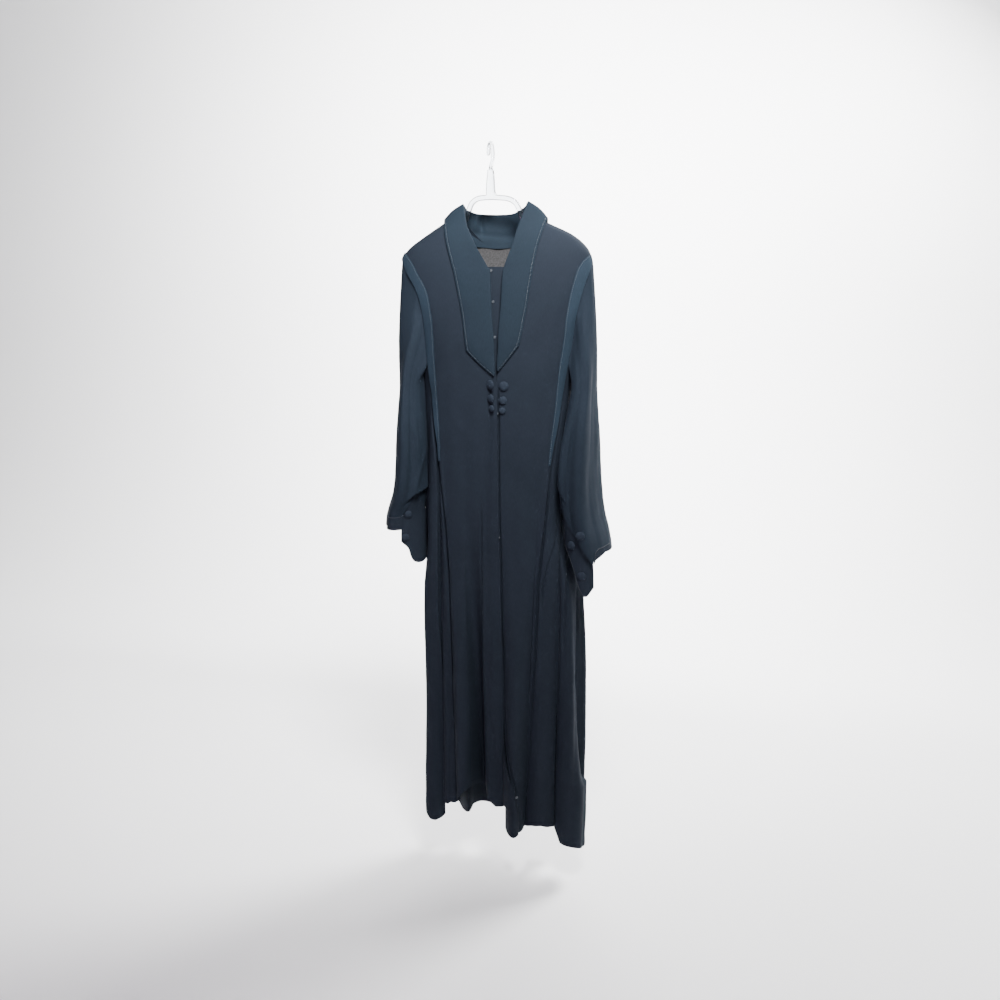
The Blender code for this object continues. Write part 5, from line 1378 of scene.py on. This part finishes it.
def turned(name, profile, steps, place, normal, mat, nodes=(), relief=None):
    """A round piece turned from a profile of (radius, height), set on a place."""
    normal = Vector(normal).normalized()
    seat = Matrix.Translation(Vector(place)) @ normal.to_track_quat("Z", "Y").to_matrix().to_4x4()
    vertices, uv = [], []
    for r, height in profile:
        for step in range(steps):
            turn = 2 * math.pi * step / steps
            x, y = r * math.cos(turn), r * math.sin(turn)
            vertices.append(seat @ Vector((x, y, height + (relief(r, turn) if relief else 0.0))))
            uv.append((x, y))
    faces = grid_faces(len(profile), steps, 0, True, True)
    faces.append(tuple(reversed(range(steps))))
    faces.append(tuple(range((len(profile) - 1) * steps, len(profile) * steps)))
    add_piece(name, vertices, faces, mat, nodes=nodes, uv=uv, sharp=60.0)


def covered_button(name, place, normal, diameter, mat):
    """Cloth drawn over a dome, gathered in at the rim."""
    radius, rim, dome = diameter / 2, BUTTON_RIM, BUTTON_DOME
    profile = [(radius * 0.7, -0.0002), (radius * 0.9, 0.0), (radius, rim * 0.6), (radius, rim)]
    for a in np.radians(np.linspace(12, 84, 9)):
        profile.append((radius * math.cos(a), rim + (dome - rim) * math.sin(a)))
    profile.append((radius * 0.03, dome))
    depth, number, sway, slow = GATHERS

    def gathers(r, turn):
        edge = float(ramp(np.array(r / radius), 0.72, 1.0))
        return edge * depth * math.sin(number * turn + sway * math.sin(slow * turn))

    turned(name + "_cover", profile, BUTTON_STEPS, place, normal, mat, nodes=(name,),
           relief=gathers)


# ---------------------------------------------------------------- operators
WORDS = {-1: "_left", 0: "", 1: "_right"}
FINE = {}                 # grids that more than one piece needs, made by the first of them
CUT_COLUMNS = (18, 17, 25)    # of the solids' front, side and back
SIDE_SHARE, BACK_SHARE = 0.7, 1.1    # of the front's columns, for the side and the back
SIDE_CLOSE = 1.5          # draws the side's columns together towards its first seam


def finished(context):
    context.view_layer.update()
    return {"FINISHED"}


def fine(kind, side=0):
    """A panel's fine grid of places, the solids' own grids, the leaf or a sleeve."""
    key = (kind, side)
    if key not in FINE:
        levels, across = fine_levels(), folds().columns
        if kind == "front":
            FINE[key] = front_grid(side, across, FINE_YOKE_ROWS, levels, HEM_ROWS)
        elif kind == "side":
            FINE[key] = side_grid(side, int(SIDE_SHARE * across), levels, HEM_ROWS, SIDE_CLOSE)
        elif kind == "back":
            FINE[key] = back_grid(int(BACK_SHARE * across) | 1, FINE_YOKE_ROWS, levels, HEM_ROWS)
        elif kind == "cut":
            front, beside, back = CUT_COLUMNS
            FINE[key] = (front_grid(side, front, YOKE_ROWS, LEVELS),
                         side_grid(side, beside, LEVELS), back_grid(back, YOKE_ROWS, LEVELS))
        elif kind == "leaf":
            FINE[key] = leaf_run()
        elif kind == "sleeve":
            FINE[key] = sleeve_grid(side, fine("cut", side))
    return FINE[key]


def tinted(colour, *factors):
    """A colour made lighter or darker, by one factor or by one for each of its parts."""
    return [c * t for c, t in zip(colour, factors if len(factors) > 1 else factors * 3)]


class ABAYA_OT_fronts(bpy.types.Operator):
    """Both front panels, from shoulder to hem, the left lapping over the right"""
    bl_idname = "abaya.fronts"
    bl_label = "Fronts"

    def execute(self, context):
        mat = cloth_material("body crepe, fronts", cloth().body)
        body_panel("front", -1, mat, (False, True), lap_lift(*fine("front", -1)))
        body_panel("front", 1, mat, (False, True))
        return finished(context)


class ABAYA_OT_sides(bpy.types.Operator):
    """Side panels between the princess seams and the back seams"""
    bl_idname = "abaya.sides"
    bl_label = "Side panels"

    def execute(self, context):
        mat = cloth_material("body crepe, sides", cloth().body)
        body_panel("side", -1, mat)
        body_panel("side", 1, mat)
        return finished(context)


class ABAYA_OT_back(bpy.types.Operator):
    """Back panel in one piece"""
    bl_idname = "abaya.back"
    bl_label = "Back"

    def execute(self, context):
        body_panel("back", 0, cloth_material("body crepe, back", cloth().body))
        return finished(context)


class ABAYA_OT_bands(bpy.types.Operator):
    """Contrast bands along the armholes, both edges turned, with a row of topstitching by the edge away
    from the armhole
    """
    bl_idname = "abaya.bands"
    bl_label = "Armhole bands"

    def execute(self, context):
        mat = cloth_material("trim crepe, bands", tinted(cloth().contrast, 1.55), grain=0.12)
        thread = thread_material("band thread", cloth().thread)
        for side in (-1, 1):
            name = "band" + WORDS[side]
            points, normal = band_grid(side, fine("front", side))
            relief = rolled_edges(points, ("first", "last"), BAND_STITCH, 0.0003)
            outer = points + normal * (LAY_GAP + CLOTH + relief)[..., None]
            cloth_wall(name, outer, points + normal * LAY_GAP, mat)
            stitch_edge(name, outer, normal, "last", BAND_STITCH, thread)
        return finished(context)


class ABAYA_OT_lapels(bpy.types.Operator):
    """Lapels and collar leaf with a rounded roll, turned edges and topstitching"""
    bl_idname = "abaya.lapels"
    bl_label = "Lapels and collar"

    def execute(self, context):
        mat = cloth_material("trim crepe, lapels", cloth().contrast, grain=0.13, cloud=0.07)
        thread = thread_material("lapel thread", cloth().thread)
        run, normal, (first, last) = fine("leaf")
        relief = rolled_edges(run, ("last",), TOPSTITCH, 0.0005) + puckers(run)
        leaf, normals = with_roll(run + normal * relief[..., None], normal)
        spans = (("lapel_left", 0, first + 1), ("collar_back", first, last + 1),
                 ("lapel_right", last, len(run)))
        for name, start, stop in spans:
            outer, up = leaf[start:stop], normals[start:stop]
            cloth_wall(name, outer, outer - up * cloth().thickness * 1.3, mat)
            line = inset_line(outer, "last", TOPSTITCH) + up[:, -3] * THREAD_RISE
            stitch_row(name, line, up[:, -3], thread)
        return finished(context)


class ABAYA_OT_neck(bpy.types.Operator):
    """Collar stand, with the small crumple of its roll, and the marled piece below it"""
    bl_idname = "abaya.neck"
    bl_label = "Inside neck"

    def execute(self, context):
        self.stand()
        self.patch()
        return finished(context)

    @staticmethod
    def stand():
        # The stand's copy of the trim colour is made a little lighter: painted light that makes up for
        # the shade where it sits back inside the neck.
        mat = cloth_material("trim crepe, stand, painted lighter", tinted(cloth().contrast, 1.04))
        count, steps = STAND_GRID
        rows = []
        for low, roll in zip(NECK_SEAM, np.array(COLLAR_ROLL)):
            top = roll + neck_inward(roll) * STAND_IN + np.array([0, 0, -0.001])
            away = abs(low[0])
            low = np.array((low[0], low[1] + 0.0012 + 0.06 * away + 1.2 * away ** 2,
                            min(low[2], STAND_FOOT + 0.1 * max(0.0, away - 0.03))))
            rows.append([top + (low - top) * t for t in np.linspace(0, 1, steps)])
        grid = through(np.array(rows), count) + np.array([GARMENT_X, 0, 0])
        normal = surface_normals(grid, (0, 1.0, 0))
        normal = normal if normal[count // 2, 5][1] > 0 else -normal
        across = np.linspace(-1, 1, count)[:, None]
        down = np.linspace(0, 1, steps)[None, :]
        slant = across - 0.12 * down
        crumples = (0.0042 * bump_at(slant + 0.52, 0.07) * bump_at(down - 0.28, 0.32)
                    - 0.0016 * bump_at(down - 0.62 - 0.08 * across, 0.1)
                    - 0.003 * bump_at(slant + 0.4, 0.04) * bump_at(down - 0.25, 0.3)
                    + 0.0005 * np.sin(9 * across + 5 * down) * np.sin(math.pi * down))
        grid = grid - normal * crumples[..., None]
        half = normal * cloth().thickness / 2
        cloth_wall("collar_stand", grid + half, grid - half, mat)

    @staticmethod
    def patch():
        mat = marl_material("marled piece", cloth().patch)
        count, steps = PATCH_GRID
        x = np.linspace(-PATCH_HALF, PATCH_HALF, count)
        top = np.minimum(PATCH_TOP, neckline_z(x) + 0.004)
        low = PATCH_FOOT - 0.01 * (1 - (x / PATCH_HALF) ** 2)
        z = top + (low - top) * np.linspace(0, 1, steps)[:, None]
        p = p_at(np.broadcast_to(np.where(x == 0, 1e-6, x), z.shape), z, back=True)
        points, normal = body_point(p, z), body_normal(p, z)
        edge = rolled_edges(points, ("first", "last", "foot"), 0.002, 0.0003)
        face = points - normal * (CLOTH + LAY_GAP + PATCH_SET + edge)[..., None]
        cloth_wall("neck_patch", points - normal * (CLOTH + LAY_GAP), face, mat)


class ABAYA_OT_placket(bpy.types.Operator):
    """Under-placket behind the centre front, with its snaps"""
    bl_idname = "abaya.placket"
    bl_label = "Under-placket and snaps"

    def execute(self, context):
        z = np.linspace(PLACKET["z"][0], PLACKET_END, 150)[:, None]
        left, right = smooth(PLACKET, "left", z), smooth(PLACKET, "right", z)
        x = left + (right - left) * np.linspace(0, 1, 18)[None, :]
        z = np.broadcast_to(z, x.shape)
        mat = cloth_material("placket crepe", tinted(cloth().body, 0.92))
        body_piece("under_placket", p_at(x, z), z, mat, -self.set_back(z))
        metal = snap_material("snap metal")
        for index, (x, z, size) in enumerate(SNAPS):
            self.snap(f"snap_{index + 1}", x, z, size, SNAP_RISE - self.set_back(z), metal)
        inset, out, down = LAP_SNAP_SET
        for index, (z, size) in enumerate(LAP_SNAPS):
            x = float(front_edge(-1, z)) - inset
            lift = float(lap_lift(p_at(x - 0.001, z), z)) - down
            self.snap(f"lap_snap_{index + 1}", x + out, z, size, lift, metal)
        return finished(context)

    @staticmethod
    def set_back(z):
        """How far the placket lies behind the body's surface."""
        return np.interp(-z, -np.array(PLACKET["z"]), PLACKET["set"])

    @staticmethod
    def snap(name, x, z, size, lift, metal):
        place, normal = body_cloth(p_at(np.array(x), np.array(z)), np.array(z))
        profile = [(share * size / 2, height) for share, height in SNAP_PROFILE]
        turned(name, profile, SNAP_STEPS, place + normal * lift, normal, metal)


class ABAYA_OT_sleeves(bpy.types.Operator):
    """Sleeves with their pressed front line, folds and open slit"""
    bl_idname = "abaya.sleeves"
    bl_label = "Sleeves"

    def execute(self, context):
        mat = cloth_material("body crepe, sleeves", tinted(cloth().body, 1.01, 1.09, 1.1))
        for side in (-1, 1):
            rows, normal, relief, _ = fine("sleeve", side)
            outer = rows + normal * relief[..., None]
            cloth_wall("sleeve" + WORDS[side], outer,
                       outer - normal * cloth().thickness, mat, closed=True)
        return finished(context)


class ABAYA_OT_cuffs(bpy.types.Operator):
    """Cuffs and the button strips that hang in their slits"""
    bl_idname = "abaya.cuffs"
    bl_label = "Cuffs and strips"

    def execute(self, context):
        mat = cloth_material("cuff crepe", tinted(cloth().body, 1.08))
        thread = thread_material("cuff thread", tinted(cloth().thread, 0.55))
        for side in (-1, 1):
            self.cuff(side, mat, thread)
            self.strip(side, mat, thread)
        return finished(context)

    @staticmethod
    def cuff(side, mat, thread):
        name, ends = "cuff" + WORDS[side], CUFF_LOW[side]
        degrees = np.linspace(ends["angle"][0] + 1.0, ends["angle"][-1] - 1.0, 130)
        seam = end_z(SLEEVE_END, side, degrees)
        low = np.interp(degrees, ends["angle"], ends["z"])
        z = seam + CUFF_TUCK + (low - seam - CUFF_TUCK) * np.linspace(0, 1, 32)[:, None]
        wave = sleeve_relief(side, degrees[None, :], z)
        points, normal = band_points(side, degrees, z, wave)
        relief = CUFF_PROUD + rolled_edges(points, ("foot",), 0.0028, 0.0003)
        relief -= (cloth().thickness + CUFF_UNDER) * ramp(z - seam, *CUFF_DIVES)
        outer = points + normal * relief[..., None]
        inner = outer - normal * (cloth().thickness + CUFF_LINING)
        cloth_wall(name, outer, inner, mat)
        stitch_edge(name, outer, normal, "top", CUFF_TUCK + CUFF_STITCH, thread)

    @staticmethod
    def strip(side, mat, thread):
        name = "cuff_flap" + WORDS[side]
        table = through(np.array([STRIP[side][k] for k in ("angle", "top", "foot")]).T, 64)
        degrees, top, foot = table.T
        z = top + (foot - top) * np.linspace(0, 1, 60)[:, None]
        inside = 0.0008 * np.sin(38 * (z - top) + np.radians(degrees) * 5)
        inside = inside * ramp(z - top, 0, -0.03) - STRIP_SET[side]
        start, end, far = STRIP_TURN[side]
        down = np.clip((top - z) / 0.1, 0, 1.6) ** 2 if side > 0 else 1.0
        points, normal = band_points(side, degrees, z, inside + far * down * ramp(degrees, start, end))
        relief = rolled_edges(points, ("foot", "first", "last"), STRIP_STITCH, 0.0004)
        outer = points + normal * relief[..., None]
        cloth_wall(name, outer, outer - normal * cloth().thickness * 1.4, mat)
        stitch_edge(name, outer, normal, "foot", STRIP_STITCH, thread)


class ABAYA_OT_buttons(bpy.types.Operator):
    """Cloth-covered buttons on the fronts, sleeves and strips"""
    bl_idname = "abaya.buttons"
    bl_label = "Covered buttons"

    def execute(self, context):
        # The buttons' cloth is the body colour made 1.35 times lighter: painted light on the domes that
        # face the light high in front.
        mat = cloth_material("button crepe, painted lighter", tinted(cloth().body, 1.35), weave=0.0007, sheen=0.2)
        for label, x, z, size in FRONT_BUTTONS:
            normal = body_normal(p_at(np.array(x), np.array(z)), np.array(z))
            lean = BUTTON_LEAN if label.startswith("left") else 0.0
            self.seat("front_button_" + label, normal, size, mat, lean=lean)
        for label, side, degrees, z, size in CUFF_BUTTONS:
            normal = section_normal(side, np.array(math.radians(degrees)), np.array(z))
            lift = STRIP_SWING.get(label, 0.0)
            if label == "right_1":      # it sits on the sleeve itself
                lift = float(sleeve_relief(side, np.array([degrees]), np.array([z]))[0])
            self.seat("cuff_button_" + label, normal, size, mat, lift=lift)
        return finished(context)

    @staticmethod
    def seat(name, normal, size, mat, lean=0.0, lift=0.0):
        """Sets a button where its solid is; a leaning one turns on its cloth shank."""
        low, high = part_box(name)
        normal = Vector(normal)
        place = (Vector(low) + Vector(high)) / 2 + normal * (lift - BUTTON_SINK)
        if lean:
            turned(name + "_shank", SHANK, SHANK_STEPS, place, normal, mat)
            place = place + normal * size * 0.5 * math.sin(lean) * BUTTON_SHIFT
            normal = Matrix.Rotation(-lean, 3, "Z") @ normal
        covered_button(name, place, normal, size, mat)


# ---------------------------------------------------------------- hanger
HANGER_EDGE = 0.0012      # rounding of the moulding's edges
BEAD_RADIUS = 0.0007      # of the tube that paints the dark and bright lines which the thick edge shows by refraction
HOOK_TIP = (0.97, 0.9, 0.76, 0.52, 0.15)  # the hook's end narrows by these shares


def tube(name, path, sizes, steps, mat, node, closed=False):
    """A round bar along a path; closed joins its last ring to its first."""
    if closed:
        forward = np.roll(path, -1, axis=0) - np.roll(path, 1, axis=0)
    else:
        forward = np.gradient(path, axis=0)
    side = np.array([0.0, 1.0, 0.0] if closed else [1.0, 0.0, 0.0])
    up = np.cross(side, unit(forward))
    turns = 2 * math.pi * np.arange(steps) / steps
    rings = [place + size * (side * math.cos(a) + lift * math.sin(a))
             for place, lift, size in zip(path, up, sizes) for a in turns]
    count = len(rings)
    faces = [tuple(v % count for v in face)
             for face in grid_faces(len(path) + closed, steps, 0, True)]
    if not closed:
        faces += [tuple(range(steps)), tuple(range(count - 1, count - steps - 1, -1))]
    add_piece(name, rings, faces, mat, nodes=(node,))


class ABAYA_OT_hanger(bpy.types.Operator):
    """Clear moulded hanger and its round hook"""
    bl_idname = "abaya.hanger"
    bl_label = "Hanger"

    def execute(self, context):
        clear = clear_material("clear plastic", (0.76, 0.79, 0.82))
        outline = []
        for side in (1, -1):
            line = list(HANGER_LINE[side])
            for x in np.linspace(line[-1][0], HANGER_ARM_END[side], 6)[1:]:
                line.append((x, shoulder_z(x - GARMENT_X) - HANGER_DROP - HANGER_HALF))
            line = through(np.array(line), 90)
            along = unit(np.gradient(line, axis=0))
            normal = np.stack([-along[:, 1], along[:, 0]], axis=1) * side
            half = HANGER_HALF * np.sqrt(np.clip(1 - ramp(np.arange(90.0), 82, 91) ** 2, 0.02, 1))
            upper, lower = line + normal * half[:, None], line - normal * half[:, None]
            run = [(side * x, z) for x, z in HANGER_NECK[::-1]] + [*upper[3:], *lower[:0:-1]]
            outline += run if side > 0 else run[::-1]
        self.moulding(np.array(outline), clear)
        self.hook(clear)
        return finished(context)

    @staticmethod
    def moulding(outline, clear):
        """The flat body with rounded edges, made from rings of the outline."""
        after = np.roll(outline, -1, axis=0)
        ahead = after - np.roll(outline, 1, axis=0)
        inward = unit(np.stack([-ahead[:, 1], ahead[:, 0]], axis=1))
        inward *= np.sign(np.sum(outline[:, 0] * after[:, 1] - outline[:, 1] * after[:, 0]))
        half, edge = HANGER_DEPTH / 2, HANGER_EDGE
        vertices = []
        profile = ((half, edge), (half - edge * 0.3, edge * 0.3), (half - edge, 0.0),
                   (edge - half, 0.0), (edge * 0.3 - half, edge * 0.3), (-half, edge))
        for y, inset in profile:
            for (x, z), (nx, nz) in zip(outline, inward):
                vertices.append((x + nx * inset, -y, z + nz * inset))
        n = len(outline)
        faces = grid_faces(len(profile), n, 0, True, True)
        faces.append(tuple(reversed(range(n))))
        faces.append(tuple(range((len(profile) - 1) * n, len(profile) * n)))
        item = add_piece("hanger_moulding", vertices, faces, clear, nodes=("hanger",),
                         sharp=35.0)
        bm = bmesh.new()
        bm.from_mesh(item.data)
        bmesh.ops.recalc_face_normals(bm, faces=bm.faces[:])
        bmesh.ops.triangulate(bm, faces=[f for f in bm.faces if len(f.verts) > 4])
        bm.to_mesh(item.data)
        bm.free()
        # A much darker tinted copy of the clear plastic, as a thin tube round the front face's edge:
        # painted dark lines that stand in for the refraction of the moulding's thick edge.
        bead = clear_material("clear plastic, painted edge lines", (0.3, 0.32, 0.34))
        loop = outline + inward * edge
        path = np.stack([loop[:, 0], np.full(n, -half - 0.0001), loop[:, 1]], axis=1)
        tube("hanger_painted_edge_line", path, np.full(n, BEAD_RADIUS), 8, bead, "hanger", closed=True)

    @staticmethod
    def hook(clear):
        centre_z = -(HOOK_RADIUS - HOOK_WIRE)
        foot = HANGER_NECK[2][1]
        points = [(0.0, 0.0, foot), (0.0, 0.0, foot + 0.0035), (0.0, 0.005, foot + 0.009)]
        for a in np.radians(np.arange(-56, 200, 7.0)):
            points.append((0.0, HOOK_RADIUS * math.cos(a), centre_z + HOOK_RADIUS * math.sin(a)))
        path = through(points, 130)
        sizes = np.full(len(path), HOOK_WIRE)
        sizes[-len(HOOK_TIP):] *= HOOK_TIP
        tube("hanger_hook_bar", path, sizes, 24, clear, "hanger_hook")


class ABAYA_OT_studio(bpy.types.Operator):
    """Pale floor and backdrop, soft lights and the camera"""
    bl_idname = "abaya.studio"
    bl_label = "Studio"

    def execute(self, context):
        scene, studio = context.scene, context.scene.abaya_studio
        self.backdrop(studio)
        scene.world = bpy.data.worlds.new("room")
        scene.world.use_nodes = True
        sky = scene.world.node_tree.nodes["Background"]
        sky.inputs[0].default_value = (0.94, 0.96, 1.0, 1.0)
        sky.inputs[1].default_value = studio.sky
        self.light("key", studio.key, 0.6, (0.45, -1.1, 1.0), (0.0, 0.0, 0.1), cone=79.0)
        self.light("fill", studio.fill, 1.4, (-0.9, -2.3, -1.0), (0.0, 0.0, -1.3),
                   tint=(1.0, 0.55, 0.95))
        self.light("wash wall", studio.wash * 2.0, 2.4, (-0.3, 1.1, 0.35), (-0.3, 2.5, 0.2))
        self.light("wash floor", studio.wash * 2.0, 1.1, (1.5, 1.3, 0.9), (-0.2, 0.9, -1.7))
        self.camera(scene)
        return finished(context)

    @staticmethod
    def backdrop(studio):
        mat, tree, shader = new_material("studio paper", roughness=0.9)
        fleck = noise(tree, place_on(tree), 3.0, 3.0)
        shade_colour(tree, shader, studio.floor, spread_to(tree, fleck, 0.0, 1.0, 0.985, 1.015))
        bend = 1.3      # radius from the floor up into the wall
        profile = [(-6.0, FLOOR_Z), (1.2, FLOOR_Z)]
        for a in np.radians(np.linspace(10, 90, 9)):
            profile.append((1.2 + bend * math.sin(a), FLOOR_Z + bend * (1 - math.cos(a))))
        profile.append((2.5, 4.5))
        vertices = [(x, y, z) for y, z in profile for x in (-7.0, 7.0)]
        faces = [(2 * i, 2 * i + 1, 2 * i + 3, 2 * i + 2) for i in range(len(profile) - 1)]
        mesh = bpy.data.meshes.new("studio_backdrop")
        mesh.from_pydata(vertices, [], faces)
        mesh.shade_smooth()
        item = bpy.data.objects.new("studio_backdrop", mesh)
        item.data.materials.append(mat)
        bpy.context.scene.collection.objects.link(item)

    @staticmethod
    def light(name, power, size, place, target, cone=None, tint=(1.0, 1.0, 1.0)):
        """A soft disc of light, or a soft spot if its cone is given in degrees."""
        lamp = bpy.data.lights.new(name, "SPOT" if cone else "AREA")
        lamp.energy, lamp.color = power, tint
        if cone:
            lamp.shadow_soft_size, lamp.spot_size, lamp.spot_blend = size / 2, math.radians(cone), 1.0
        else:
            lamp.size, lamp.shape = size, "DISK"
        item = bpy.data.objects.new(name, lamp)
        item.location = place
        direction = Vector(target) - Vector(place)
        item.rotation_euler = direction.to_track_quat("-Z", "Y").to_euler()
        item.visible_camera = False
        bpy.context.scene.collection.objects.link(item)

    @staticmethod
    def camera(scene):
        lens = bpy.data.cameras.new("camera")
        item = bpy.data.objects.new("camera", lens)
        scene.collection.objects.link(item)
        scene.camera = item
        lens.sensor_width, lens.lens, lens.shift_x = 36.0, CAMERA_LENS, CAMERA_SHIFT
        turn, tilt = math.radians(CAMERA_TURN), math.radians(CAMERA_TILT)
        item.location = (CAMERA_AWAY * math.sin(turn), -CAMERA_AWAY * math.cos(turn), CAMERA_Z)
        look = Vector((-math.sin(turn) * math.cos(tilt), math.cos(turn) * math.cos(tilt),
                       -math.sin(tilt)))
        item.rotation_euler = look.to_track_quat("-Z", "Y").to_euler()


FLOOR_Z = -1.735
CAMERA_TURN, CAMERA_TILT = 12.0, 15.0717
CAMERA_AWAY, CAMERA_Z = 2.2, -0.184
CAMERA_LENS, CAMERA_SHIFT = 35.424, 0.0093


class ABAYA_PT_panel(bpy.types.Panel):
    """Lists the cloak's pieces in the sidebar"""
    bl_idname = "ABAYA_PT_panel"
    bl_label = "Abaya cloak"
    bl_space_type = "VIEW_3D"
    bl_region_type = "UI"
    bl_category = "Abaya"

    def draw(self, context):
        for group in (context.scene.abaya_cloth, context.scene.abaya_folds,
                      context.scene.abaya_studio):
            box = self.layout.box()
            for key in group.bl_rna.properties.keys():
                if key not in ("name", "rna_type"):
                    box.prop(group, key)
        for operator in PIECES:
            self.layout.operator(operator.bl_idname)


GROUPS = (AbayaCloth, AbayaFolds, AbayaStudio)
PIECES = (ABAYA_OT_studio, ABAYA_OT_fronts, ABAYA_OT_sides, ABAYA_OT_back, ABAYA_OT_bands,
          ABAYA_OT_lapels, ABAYA_OT_neck, ABAYA_OT_placket, ABAYA_OT_sleeves, ABAYA_OT_cuffs,
          ABAYA_OT_buttons, ABAYA_OT_hanger)


def register():
    for item in GROUPS + PIECES + (ABAYA_PT_panel,):
        bpy.utils.register_class(item)
    bpy.types.Scene.abaya_cloth = PointerProperty(type=AbayaCloth)
    bpy.types.Scene.abaya_folds = PointerProperty(type=AbayaFolds)
    bpy.types.Scene.abaya_studio = PointerProperty(type=AbayaStudio)


def unregister():
    del bpy.types.Scene.abaya_studio, bpy.types.Scene.abaya_folds, bpy.types.Scene.abaya_cloth
    for item in reversed(GROUPS + PIECES + (ABAYA_PT_panel,)):
        bpy.utils.unregister_class(item)


def main():
    register()
    for operator in PIECES:
        part = getattr(bpy.ops.abaya, operator.bl_idname.split(".")[1])
        if part() != {"FINISHED"}:
            raise RuntimeError(f"{operator.bl_idname} didn't finish")


if __name__ == "__main__":
    main()
